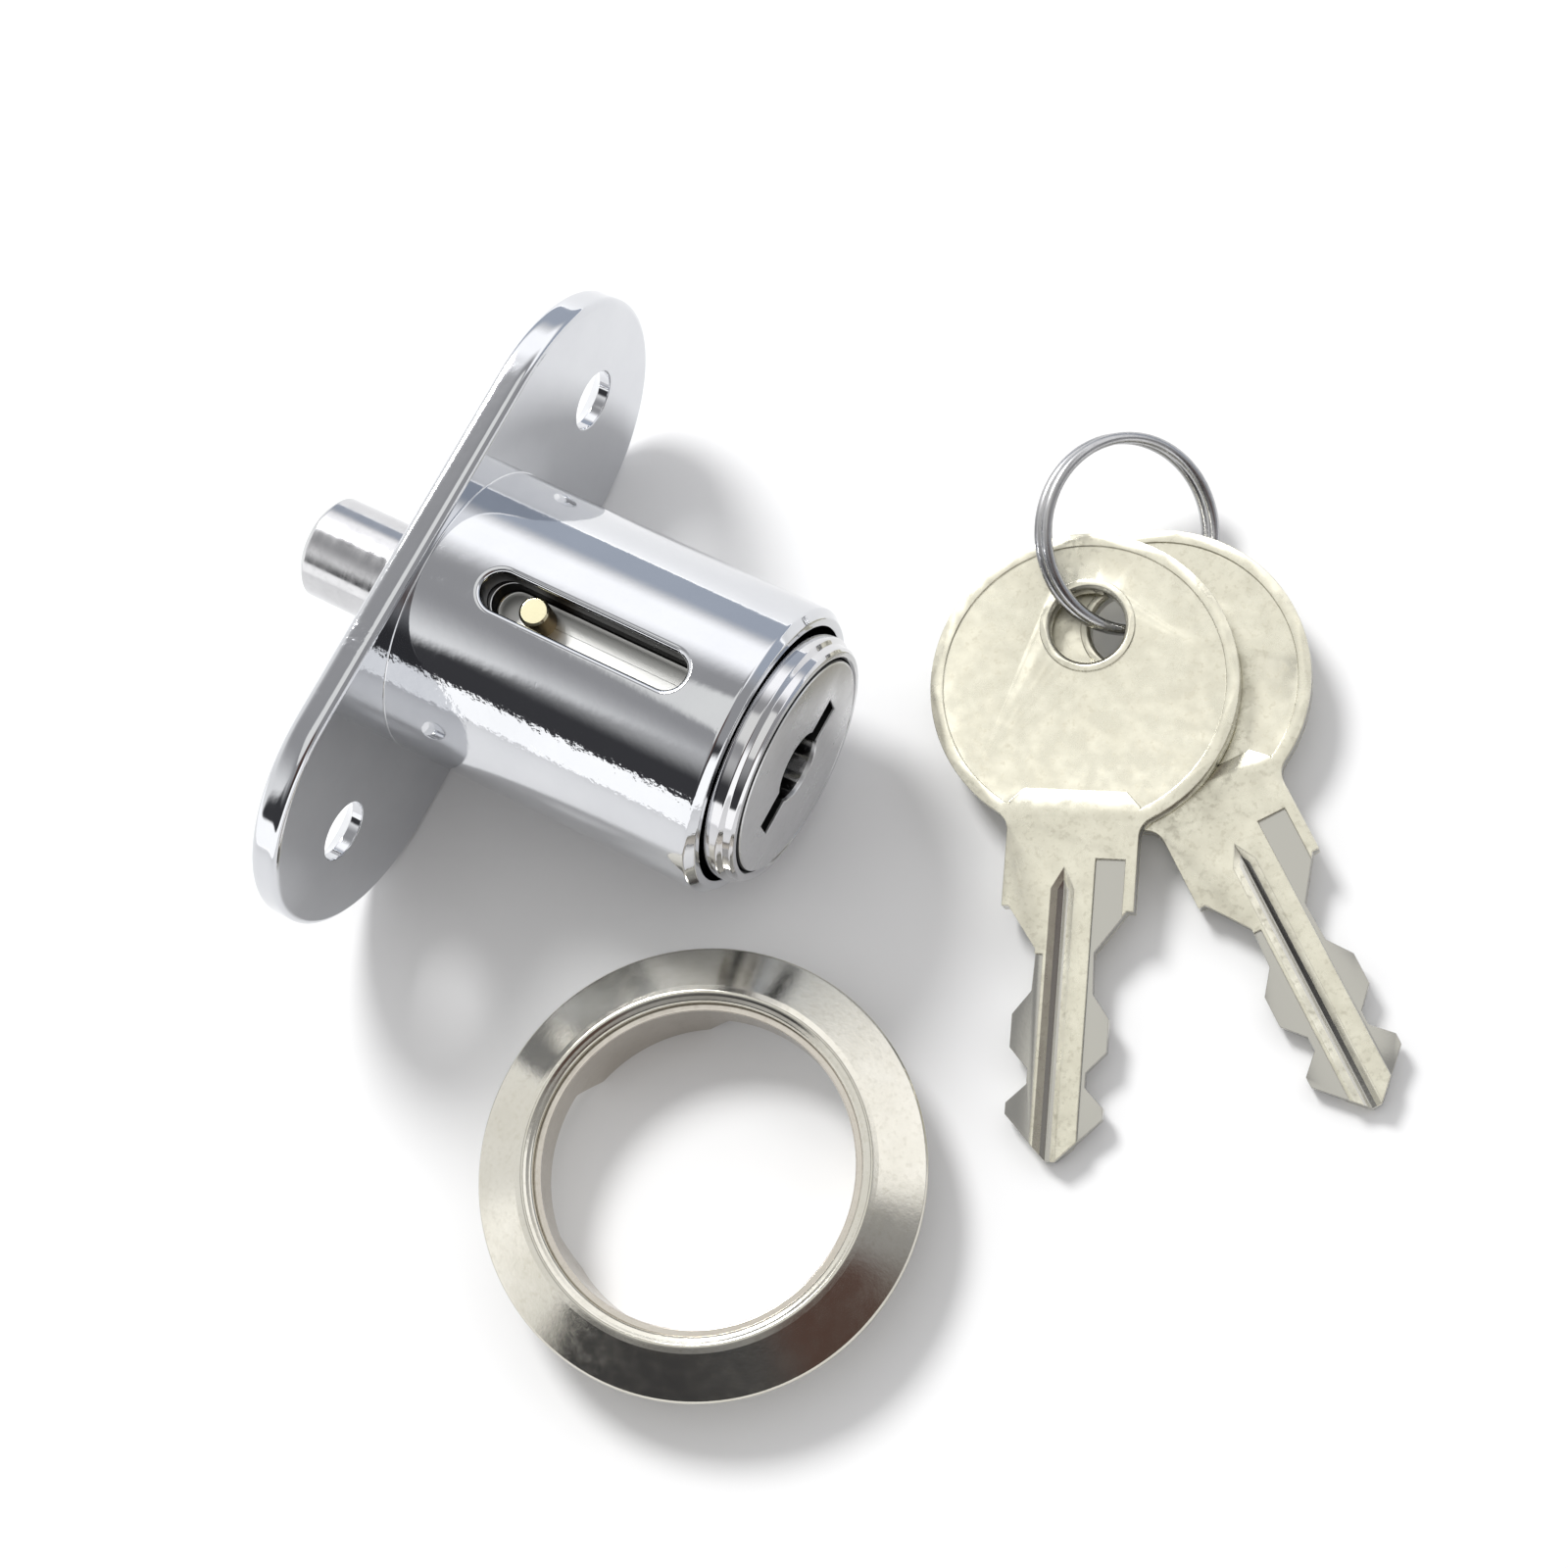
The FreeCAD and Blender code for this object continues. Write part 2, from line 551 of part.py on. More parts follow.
def make_return_spring():
    """Compression spring about the bolt, between the barrel's rear wall and the bolt's collar."""
    room = collar_rear - wall_face - size("seat_gap") * 2 - size("spring_wire")
    made = wound("return_spring", spring_dia, size("spring_wire"), 6, room, COILS, 16)
    made.Placement = Placement(Vector(), Rotation(Vector(0, 1, 0), 90))
    bind(made, "Placement.Base.x", wall_face + size("seat_gap") + size("spring_wire") / 2)
    return made


def make_latch_leaf():
    """Spring leaf under the push cylinder: a folded nose for the window and a hook for the cam."""
    body = new_body("latch_leaf")
    skin = size("leaf_thickness")
    flare = size("nose_flare")
    side = Drawing(body, "XZ_Plane", "leaf_side_outline")
    side.polygon([
        (leaf_front, leaf_inner), (nose_front - skin, leaf_inner),
        (nose_front - skin - flare, nose_tip + skin), (nose_rear + skin + flare, nose_tip + skin),
        (nose_rear + skin, leaf_inner), (leaf_rear, leaf_inner),
        (leaf_rear, leaf_outer), (nose_rear, leaf_outer),
        (nose_rear + flare, nose_tip), (nose_front, nose_tip),
        (nose_front, leaf_outer), (leaf_front, leaf_outer)])
    pad(body, "leaf_strip", side, size("leaf_width"), centred=True)
    inner = hook_inner_dia
    outer = inner + size("hook_strip") * 2
    leg = Drawing(body, "YZ_Plane", "leg_outline", along=leaf_rear)
    half = size("leg_width") / 2
    leg.rectangle(-half, leaf_outer, half, -(inner / 2 + size("hook_drop")))
    pad(body, "leg", leg, size("hook_thickness"))
    hook = Drawing(body, "YZ_Plane", "hook_outline", along=leaf_rear)
    hook.obround((0, 0), (0, -size("hook_drop")), outer)
    hook.obround((0, 0), (0, -size("hook_drop")), inner)
    pad(body, "hook", hook, size("hook_thickness"))
    open_side = Drawing(body, "YZ_Plane", "hook_open_side_outline", along=leaf_rear)
    strip_top = -(inner / 2 + size("hook_drop")) + size("hook_strip")
    open_side.rectangle(size("hook_foot"), strip_top, outer, outer)
    pocket(body, "hook_open_side", open_side, size("hook_thickness"), forwards=True)
    foot_side = Drawing(body, "YZ_Plane", "hook_foot_side_outline", along=leaf_rear)
    foot_side.rectangle(half, -outer, outer, 0)
    pocket(body, "hook_foot_side", foot_side, size("hook_thickness"), forwards=True)
    rivet_hole = Drawing(body, "XY_Plane", "leaf_rivet_hole_circle", along=leaf_outer)
    rivet_hole.circle(rivet_place, 0, size("rivet_dia"))
    body.Tip = pocket(body, "leaf_rivet_hole", rivet_hole, size("leaf_thickness"), forwards=True)
    return body


def make_leaf_rivet():
    """Rivet that holds the leaf's front end on the push cylinder."""
    top = leaf_inner + size("rivet_length")
    place = (rivet_place, 0)
    shank = rod("rivet_shank", size("rivet_dia"), leaf_outer, top, "z", place)
    head_foot = leaf_outer - size("rivet_head_height")
    head = rod("rivet_head", size("rivet_head_dia"), head_foot, leaf_outer, "z", place)
    return combine("Fuse", "leaf_rivet", shank, head)


def make_plug():
    """The key plug: face disc, wafer slots, keyway, clip groove and the flats for the cam."""
    body = new_body("plug")
    neck = size("neck_dia") / 2
    seat = size("cam_seat_dia") / 2
    face = size("plug_face_dia") / 2
    bevel = size("plug_chamfer")
    profile = Drawing(body, "XY_Plane", "plug_profile")
    profile.polygon([
        (tail_end, 0), (tail_end, seat), (cam_front, seat), (cam_front, neck), (clip_groove_rear, neck),
        (clip_groove_rear, size("clip_groove_dia") / 2), (plug_rear, size("clip_groove_dia") / 2),
        (plug_rear, plug_radius), (plug_seat, plug_radius), (plug_seat, face),
        (plug_face - bevel, face), (plug_face, face - bevel), (plug_face, 0)])
    revolve(body, "turned_plug", profile)
    half = keyway_width / 2
    keyway = Drawing(body, "YZ_Plane", "keyway_outline")
    keyway.rectangle(-keyway_length / 2, -half, keyway_length / 2, half)
    pocket(body, "keyway", keyway, size("barrel_length") * 2, forwards=True)
    mouth = Drawing(body, "YZ_Plane", "key_mouth_outline", along=plug_face)
    mouth.rectangle(-mouth_slot_length / 2, -half, mouth_slot_length / 2, half)
    pocket(body, "key_mouth", mouth, size("mouth_slot_depth"))
    well = Drawing(body, "YZ_Plane", "key_well_circle", along=plug_face)
    well.circle(0, 0, size("mouth_round_dia"))
    pocket(body, "key_well", well, size("mouth_round_depth"))
    slots = Drawing(body, "XZ_Plane", "wafer_slot_outlines")
    reach = size("wafer_thickness") / 2 + size("side_clearance")
    side = wafer_half + size("side_clearance")
    for number in range(WAFERS):
        place = wafer_place(number)
        slots.rectangle(place - reach, -side, place + reach, side)
    pocket(body, "wafer_slots", slots, size("plug_dia") * 1.2, centred=True)
    for turn, sign in (("upper", 1), ("lower", -1)):
        lugs = Drawing(body, "XY_Plane", f"{turn}_lug_pocket_outlines", along=wafer_half * sign)
        far = size("lug_pocket_foot") * -sign
        close = (lug_half + size("wafer_travel") + size("side_clearance") * 2) * sign
        for number in range((1 - sign) // 2, WAFERS, 2):
            place = wafer_place(number)
            lugs.rectangle(place - reach, far, place + reach, close)
        pocket(body, f"{turn}_lug_pockets", lugs, size("lug_height") + size("side_clearance") * 2,
               forwards=sign > 0)
    flats = Drawing(body, "XZ_Plane", "cam_flat_outlines")
    for sign in (1, -1):
        flat = size("cam_flats") / 2 * sign
        flats.rectangle(tail_end - size("end_clearance"), flat, cam_front, neck * sign)
    body.Tip = pocket(body, "cam_flats", flats, size("plug_dia"), centred=True)
    return body


def make_cam_plate():
    """Cam on the plug's tail: its lobe lifts the latch hook when the key turns a quarter."""
    body = new_body("cam_plate")
    rear = cam_front - size("cam_thickness")
    base = Drawing(body, "YZ_Plane", "cam_base_circle", along=rear)
    base.circle(0, 0, size("cam_base_dia"))
    pad(body, "cam_base", base, size("cam_thickness"))
    lobe = Drawing(body, "YZ_Plane", "cam_lobe_outline", along=rear)
    lobe.obround((0, 0), (size("cam_reach") - size("cam_lobe_width") / 2, 0), size("cam_lobe_width"))
    pad(body, "cam_lobe", lobe, size("cam_thickness"))
    hole = Drawing(body, "YZ_Plane", "cam_hole_outline", along=rear)
    seat = size("cam_seat_dia") / 2
    flat = size("cam_flats") / 2
    half_chord = math.sqrt(seat.value ** 2 - flat.value ** 2)
    swing = math.atan2(flat.value, half_chord)
    up = Vector(0, 0, 1)
    ring = Part.Circle(Vector(), up, seat.value)
    right = hole.sketch.addGeometry(Part.ArcOfCircle(ring, -swing, swing))
    corner, opposite = Vector(half_chord, flat.value), Vector(-half_chord, flat.value)
    top = hole.sketch.addGeometry(Part.LineSegment(corner, opposite))
    left = hole.sketch.addGeometry(Part.ArcOfCircle(ring, math.pi - swing, math.pi + swing))
    foot = hole.sketch.addGeometry(Part.LineSegment(-corner, -opposite))
    for joint in ((right, 2, top, 1), (top, 2, left, 1), (left, 2, foot, 1), (foot, 2, right, 1)):
        hole.sketch.addConstraint(Sketcher.Constraint("Coincident", *joint))
    hole.sketch.addConstraint(Sketcher.Constraint("Coincident", right, 3, -1, 1))
    hole.sketch.addConstraint(Sketcher.Constraint("Coincident", left, 3, -1, 1))
    hole.sketch.addConstraint(Sketcher.Constraint("Horizontal", top))
    hole.sketch.addConstraint(Sketcher.Constraint("Horizontal", foot))
    hole.fix("Radius", (right,), seat)
    hole.fix("DistanceY", (-1, 1, top, 1), flat)
    hole.fix("DistanceY", (foot, 1, -1, 1), flat)
    body.Tip = pocket(body, "cam_hole", hole, size("cam_thickness"), forwards=True)
    return body


def make_tail_clip():
    """Open retaining clip that keeps the plug in the push cylinder."""
    body = new_body("tail_clip")
    rear = plug_rear - size("clip_groove_width") + size("side_clearance")
    ring = Drawing(body, "YZ_Plane", "clip_circles", along=rear)
    ring.circle(0, 0, clip_dia)
    ring.circle(0, 0, size("clip_groove_dia"))
    pad(body, "clip_ring", ring, size("clip_thickness"))
    gap = Drawing(body, "YZ_Plane", "clip_gap_outline", along=rear)
    half = size("clip_opening") / 2
    gap.rectangle(-half, -clip_dia, half, 0)
    body.Tip = pocket(body, "clip_gap", gap, size("clip_thickness"), forwards=True)
    return body


def make_wafer(number):
    """One locking wafer: round ends, a lug for its spring and a window for the key."""
    name = f"wafer_{number + 1}"
    half = size("wafer_thickness") / 2
    reach = wafer_reach * 2
    disc = rod(f"{name}_disc", reach, -half, half)
    strip = block(f"{name}_strip", (-half, -wafer_reach, -wafer_half), (half, wafer_reach, wafer_half))
    lug = block(f"{name}_lug", (-half, -lug_half, 0), (half, lug_half, lug_tip))
    key_edge = key_half_width(number) + size("wafer_key_gap")
    window = block(f"{name}_opening", (-half, -key_edge, -size("wafer_window") / 2),
                   (half, size("wafer_window_reach"), size("wafer_window") / 2))
    plate = combine("Common", f"{name}_plate", disc, strip)
    lugged = combine("Fuse", f"{name}_lugged", plate, lug)
    made = combine("Cut", name, lugged, window)
    made.Placement = Placement(Vector(), Rotation(Vector(1, 0, 0), 180 * (number % 2)))
    bind(made, "Placement.Base.x", wafer_place(number))
    return made


def make_wafer_spring(number):
    """The small spring that pushes one wafer's lug towards the groove in the push cylinder."""
    sign = 1 - 2 * (number % 2)
    name = f"wafer_spring_{number + 1}"
    room = size("lug_pocket_foot") - lug_half - size("small_wire") - size("seat_gap") * 2
    made = wound(name, size("small_spring_dia"), size("small_wire"), 4, room, COILS, 8)
    made.Placement = Placement(Vector(), Rotation(Vector(1, 0, 0), -90 * sign))
    bind(made, "Placement.Base.x", wafer_place(number))
    seat = size("small_wire") / 2 + size("seat_gap")
    bind(made, "Placement.Base.y", (seat - size("lug_pocket_foot")) * sign)
    bind(made, "Placement.Base.z", (wafer_half + size("lug_height") / 2) * sign)
    return made


def make_rosette_ring():
    """The pressed trim ring: a sloping face, a rolled bead and a short collar."""
    body = new_body("rosette_ring")
    body.Placement = Placement(Vector(), Rotation())
    sheet_wall = size("rosette_sheet")
    edge = rosette_radius
    low = size("rosette_edge_height")
    top = size("rosette_top")
    bead = bead_radius
    half = size("bead_width") / 2
    inner = collar_radius
    dip = sheet_wall * 0.6
    profile = Drawing(body, "XZ_Plane", "rosette_profile")
    profile.polygon([
        (inner, size("collar_foot")), (inner, top - dip), (bead - half * 0.6, top - dip * 0.4), (bead, top),
        (bead + half, top - dip * 0.5), (edge - dip, low + dip), (edge, low),
        (edge, low - sheet_wall * 0.5), (edge - dip, low - sheet_wall * 0.5),
        (bead + half, top - dip - sheet_wall), (inner + sheet_wall, top - dip - sheet_wall),
        (inner + sheet_wall, size("collar_foot"))])
    body.Tip = revolve(body, "pressed_ring", profile, axis="V_Axis")
    return body


def make_rosette_sleeve():
    """Sprung liner of the rosette, with three tabs that grip the barrel and stand on the ground."""
    body = new_body("rosette_sleeve")
    inner = rosette_bore / 2
    outer = collar_radius
    profile = Drawing(body, "XZ_Plane", "sleeve_wall_profile")
    profile.rectangle(inner, 0, outer, size("sleeve_top"))
    revolve(body, "sleeve_wall_ring", profile, axis="V_Axis")
    gap = Drawing(body, "YZ_Plane", "tab_gap_outline")
    wide, narrow = size("tab_gap") / 2, size("tab_gap_top") / 2
    gap.polygon([(-wide, -size("end_clearance")), (wide, -size("end_clearance")), (wide, 0),
                 (narrow, size("tab_length")), (-narrow, size("tab_length")), (-wide, 0)])
    first = pocket(body, "tab_gap_cut", gap, rosette_radius, forwards=True)
    pattern = body.newObject("PartDesign::PolarPattern", "tab_gaps")
    pattern.Originals = [first]
    upright = next(f for f in body.Origin.OriginFeatures if f.Role == "Z_Axis")
    pattern.Axis = (upright, [""])
    pattern.Angle = 360.0
    pattern.Occurrences = 3
    body.Tip = pattern
    return body


def make_key(name):
    """A double-bitted key lying in its own XY plane: hole at the origin, tip towards +X."""
    body = new_body(name)
    thick = size("key_thickness")
    face = thick / 2
    middle = size("key_head_offset")
    shoulder = size("key_shoulder_width") / 2
    root = size("key_shoulder_end")
    head = Drawing(body, "XY_Plane", f"{name}_head_circle")
    head.circle(middle, 0, size("key_head_dia"))
    pad(body, f"{name}_head", head, thick, centred=True)
    neck_start = middle + size("key_head_dia") / 4
    neck = Drawing(body, "XY_Plane", f"{name}_neck_outline")
    neck.rectangle(neck_start, -shoulder, root, shoulder)
    joined = pad(body, f"{name}_neck", neck, thick, centred=True)
    body.Tip = dress(body, "Fillet", f"{name}_neck_rounding", joined,
                     lambda p: near(abs(p.y), shoulder.value) and p.x < root.value - 1
                     and near(math.hypot(p.x - middle.value, p.y), sheet.key_head_dia / 2),
                     "Radius", size("key_neck_rounding"))
    field = size("key_head_dia") - size("key_border") * 2
    rim = size("key_hole_dia") + size("key_hole_rim") * 2
    for side, sign in (("top", 1), ("under", -1)):
        sunk = Drawing(body, "XY_Plane", f"{name}_{side}_field_circles", along=face * sign)
        sunk.circle(middle, 0, field)
        sunk.circle(0, 0, rim)
        pocket(body, f"{name}_{side}_field", sunk, size("key_recess"), forwards=sign < 0)
    bevel = size("key_plate_bevel")
    plate = Drawing(body, "XY_Plane", f"{name}_plate_outline")
    start = size("key_plate_start")
    plate.polygon([(start, shoulder - bevel), (start + bevel, shoulder), (root, shoulder),
                   (root, -shoulder), (start + bevel, -shoulder), (start, bevel - shoulder)])
    pad(body, f"{name}_plate", plate, thick, centred=True)
    length = size("key_blade_length")
    edge = [(root + along, half) for along, half in KEY_EDGE]
    mirrored = [(along, -half) for along, half in reversed(edge)]
    inside = root - bevel
    blade = Drawing(body, "XY_Plane", f"{name}_blade_outline")
    blade.polygon([(inside, KEY_EDGE[0][1])] + edge + mirrored + [(inside, -KEY_EDGE[0][1])])
    pad(body, f"{name}_blade", blade, thick, centred=True)
    far = root + length + 1
    for side, sign in (("top", 1), ("under", -1)):
        surface = face * sign
        vee_start = root - size("key_vee_lead")
        vees = []
        for stage, along, share in (("point", vee_start, size("key_vee_point")),
                                    ("full", vee_start + size("key_vee_entry"), 1)):
            vee = Drawing(body, "YZ_Plane", f"{name}_{side}_vee_{stage}", along=along)
            line = size("key_vee_offset") * -sign
            half = size("key_vee_width") / 2 * share
            vee.polygon([(line - half, surface), (line, surface - size("key_vee_depth") * share * sign),
                         (line + half, surface)])
            vees.append(vee)
        entry = body.newObject("PartDesign::SubtractiveLoft", f"{name}_{side}_vee_entry")
        entry.Profile = vees[0].sketch
        entry.Sections = [vees[1].sketch]
        entry.Ruled = True
        pocket(body, f"{name}_{side}_vee", vees[1], length + size("key_vee_lead"), forwards=True)
        steps = Drawing(body, "XY_Plane", f"{name}_{side}_step_outlines", along=surface)
        outer = size("key_step_outer") * sign
        steps.rectangle(root - size("key_step_lead"), size("key_step_inner") * sign, far, outer)
        steps.rectangle(root + size("key_late_step_place"), size("key_late_step_inner") * -sign, far, -outer)
        pocket(body, f"{name}_{side}_steps", steps, size("key_step_depth"), forwards=sign < 0)
    hole = Drawing(body, "XY_Plane", f"{name}_hole_circle")
    hole.circle(0, 0, size("key_hole_dia"))
    drilled = pocket(body, f"{name}_hole", hole, thick * 2, centred=True)
    body.Tip = dress(body, "Chamfer", f"{name}_hole_bevel", drilled,
                     lambda p: near(math.hypot(p.x, p.y), sheet.key_hole_dia / 2)
                     and near(abs(p.z), face.value), "Size", size("key_hole_bevel"))
    return body


def make_split_ring():
    """Split ring: two flat rounds of wire, one on the other, joined by a short step."""
    body = new_body("split_ring")
    radius = (size("ring_dia") - size("ring_wire")) / 2
    for name, height in (("lower", -ring_pitch / 2), ("upper", ring_pitch / 2)):
        section = Drawing(body, "XZ_Plane", f"{name}_round_section")
        section.wire(radius, height, size("ring_wire"), 8)
        if name == "upper":
            step = body.newObject("PartDesign::AdditiveHelix", "ring_step")
            step.Profile = section.sketch
            step.ReferenceAxis = (section.sketch, ["V_Axis"])
            step.Mode = "height-turns-angle"
            bind(step, "Height", ring_pitch)
            bind(step, "Turns", size("ring_step_turn") / 360)
            step.Reversed = True
        body.Tip = revolve(body, f"{name}_round", section, "V_Axis", sized(360) - size("ring_step_turn"))
    return body


def slope(degrees, towards):
    """Turn a level plane so that it rises by that angle towards that compass direction."""
    about = Rotation(Vector(0, 0, 1), towards)
    return about * Rotation(Vector(0, 1, 0), -degrees) * about.inverted()


def lay_out_keys(back, front, ring):
    """Keys and ring as they lie: both keys in parallel planes, tips down, hung on the ring."""
    tilt = slope(sheet.keys_slope, sheet.keys_slope_towards)
    turn = tilt * Rotation(Vector(0, 0, 1), sheet.back_key_turn)
    back.Placement = Placement(Vector(sheet.back_key_x, sheet.back_key_y, 0), turn)
    lowest = min(corner.Z for corner in back.Shape.Vertexes)
    back.Placement = Placement(Vector(sheet.back_key_x, sheet.back_key_y, ground.value - lowest), turn)
    lift = Vector(sheet.front_key_dx, sheet.front_key_dy, sheet.key_thickness + sheet.key_gap)
    front.Placement = back.Placement * Placement(lift, Rotation(Vector(0, 0, 1), sheet.front_key_turn))
    lean = slope(-sheet.ring_slope, sheet.ring_slope_towards)
    start = Rotation(Vector(0, 0, 1), sheet.ring_start_turn)
    middle = Vector(sheet.ring_x, sheet.ring_y, ground.value + sheet.ring_height)
    ring.Placement = Placement(middle, lean * start)


pieces = [
    make_housing(), make_push_cylinder(), make_bolt(), make_guide_pin(), make_return_spring(),
    make_latch_leaf(), make_leaf_rivet(), make_plug(), make_cam_plate(), make_tail_clip()]
for number in range(WAFERS):
    pieces.append(make_wafer(number))
    pieces.append(make_wafer_spring(number))
rosette_ring, rosette_sleeve = make_rosette_ring(), make_rosette_sleeve()
for made, turn in ((rosette_ring, 0), (rosette_sleeve, sheet.sleeve_turn)):
    place = Vector(sheet.rosette_x, sheet.rosette_y, ground.value)
    made.Placement = Placement(place, Rotation(Vector(0, 0, 1), turn))
key_back, key_front, split_ring = make_key("key_back"), make_key("key_front"), make_split_ring()
pieces += [rosette_ring, rosette_sleeve, key_back, key_front, split_ring]
doc.recompute()
lay_out_keys(key_back, key_front, split_ring)
doc.recompute()

failed = [thing.Name for thing in doc.Objects if {"Invalid", "Error"} & set(thing.State)]
if failed:
    raise RuntimeError(f"not computed: {failed}")
for thing in doc.Objects:
    if thing.TypeId == "PartDesign::Pocket" and thing.Shape.Volume > thing.BaseFeature.Shape.Volume - 1e-4:
        raise RuntimeError(f"{thing.Name} cuts nothing")
for piece in pieces:
    if piece.Shape.isNull() or not piece.Shape.isValid():
        raise RuntimeError(f"{piece.Label} has no valid shape")

os.makedirs("parts", exist_ok=True)
for piece in pieces:
    piece.Shape.exportStep(f"parts/{piece.Label}.step")
    print(f"{piece.Label}: {len(piece.Shape.Solids)} solid, {piece.Shape.Volume:.2f} mm3")
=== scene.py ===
"""Looks of the push-button lock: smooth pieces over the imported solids, finishes, light and camera.

Lengths in the shape functions are millimetres in the part's own frame: +X out of the barrel to the
key side, +Y along the flange, +Z up. piece() turns them into metres.
"""
import json
import math

import bmesh
import bpy
import numpy as np
from mathutils import Matrix, Vector


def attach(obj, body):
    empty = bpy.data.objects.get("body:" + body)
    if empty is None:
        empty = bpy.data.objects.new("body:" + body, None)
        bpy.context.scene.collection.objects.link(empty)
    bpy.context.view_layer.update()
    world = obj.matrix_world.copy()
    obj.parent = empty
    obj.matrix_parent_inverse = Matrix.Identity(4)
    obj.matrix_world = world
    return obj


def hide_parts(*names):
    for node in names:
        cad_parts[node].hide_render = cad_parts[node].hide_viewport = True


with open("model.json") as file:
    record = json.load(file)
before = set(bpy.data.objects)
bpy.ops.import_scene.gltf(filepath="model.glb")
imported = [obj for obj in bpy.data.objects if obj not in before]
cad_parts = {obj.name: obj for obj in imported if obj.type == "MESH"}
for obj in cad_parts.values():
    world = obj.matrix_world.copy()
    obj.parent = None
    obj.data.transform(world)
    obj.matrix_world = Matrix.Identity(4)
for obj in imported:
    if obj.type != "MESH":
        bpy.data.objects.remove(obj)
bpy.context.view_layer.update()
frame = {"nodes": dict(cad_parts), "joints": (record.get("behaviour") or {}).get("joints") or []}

MM = 0.001

# Sizes that shapes share: radii, places along X, and for slots both ends and the half width

GROUND = -10.2
BARREL, BARREL_END = 9.5, 22.0
# The barrel's rounding meets the flange's face at its foot
BARREL_FOOT = BARREL + 0.16
BORE, BORE_START = 7.8, 1.0
MOUTH, MOUTH_START = 8.5, 18.6
FLANGE = 2.0
# The flange's flat face: its half width and the centres of its round ends. Its crowned edge stands out
FLAT_HALF, END_AT = 9.8, 12.2
CROWN = 0.4
SCREW_AT, SCREW_HOLE, COUNTERSINK = 16.0, 2.0, 3.6
BOLT_HOLE = 3.48
BOLT_MOUTH = BOLT_HOLE + 0.14
# The pin's slot in the barrel, and the latch's window under it
SLOT, SLOT_HALF = (3.9, 18.0), 1.25
WINDOW, WINDOW_HALF, WINDOW_FLOOR = (9.3, 11.0), 1.65, -8.65
# The button: sleeve, stepped head, recess for the plug's face, and the narrower holes behind it
SLEEVE, SLEEVE_START, SLEEVE_END = 7.72, 3.4, 19.0
HEAD, BUTTON_END = 8.15, 23.8
RECESS, RECESS_START = 7.13, 22.35
PLUG_HOLE, PLUG_HOLE_START = 5.08, 10.25
TAIL_HOLE = 5.7
# The pin's groove on the button, the leaf's channel under it and the wafers' grooves in it
GROOVE, GROOVE_HALF, GROOVE_FLOOR = (4.2, 18.7), 1.3, 6.3
CHANNEL, CHANNEL_HALF = (8.4, 17.85), 1.6
WAFER_REACH, WAFER_HALF, WAFER_START = 5.65, 2.3, 10.7
PIN_AT, PIN = 7.2, 0.95
ROSETTE_AT = (28.9, -23.97)
RING_AT = (33.84, 23.9, GROUND + 4.47)
RING_LEAN, RING_LEAN_TOWARDS = 38.2, -1.8
KEY_UPRIGHT = next(joint["axis"] for joint in frame["joints"] if joint["name"] == "key_front_swing")
# What is left of the straight end between two full rounds
HAIR = 0.0001

COLUMNS = 240
TOP = COLUMNS // 2
FLANGE_CORNER = 34


# Shapes

def quads(rows, columns, close_rows=False, close_columns=False):
    """Corner numbers of the quads between neighbours of a grid, as a rows by columns by 4 array."""
    i = np.arange(rows if close_rows else rows - 1)[:, None]
    j = np.arange(columns if close_columns else columns - 1)[None, :]
    down, right = (i + 1) % rows, (j + 1) % columns
    corners = [i * columns + j, i * columns + right, down * columns + right, down * columns + j]
    return np.stack(corners, -1)


class Grids:
    """Point grids that together make one mesh."""

    def __init__(self):
        self.points, self.faces, self.count = [], [], 0

    def add(self, points, faces=None, close_rows=False, close_columns=False):
        rows, columns = points.shape[:2]
        if faces is None:
            faces = quads(rows, columns, close_rows, close_columns)
        self.points.append(points.reshape(-1, 3))
        self.faces.append(faces.reshape(-1, 4) + self.count)
        self.count += rows * columns
        return self

    def loops(self, *loops):
        """Closed loops of equally many points, each joined to the next."""
        return self.add(np.stack(loops), close_columns=True)


def finished(obj, body, nodes, material):
    """Gives a piece its material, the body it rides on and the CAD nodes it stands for."""
    obj.data.materials.clear()
    obj.data.materials.append(material)
    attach(obj, body)
    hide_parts(*nodes)


def piece(name, grids, body, nodes, material):
    """One smooth, closed piece from point grids: doubles merged, faces turned outwards."""
    points = np.concatenate(grids.points) * MM
    faces = np.concatenate(grids.faces)
    mesh = bpy.data.meshes.new(name)
    mesh.from_pydata(points, [], faces.tolist())
    work = bmesh.new()
    work.from_mesh(mesh)
    bmesh.ops.remove_doubles(work, verts=work.verts, dist=1.5e-6)
    bmesh.ops.dissolve_degenerate(work, edges=work.edges, dist=1e-7)
    bmesh.ops.recalc_face_normals(work, faces=work.faces)
    work.to_mesh(mesh)
    work.free()
    mesh.shade_smooth()
    obj = bpy.data.objects.new(name, mesh)
    bpy.context.scene.collection.objects.link(obj)
    finished(obj, body, nodes, material)


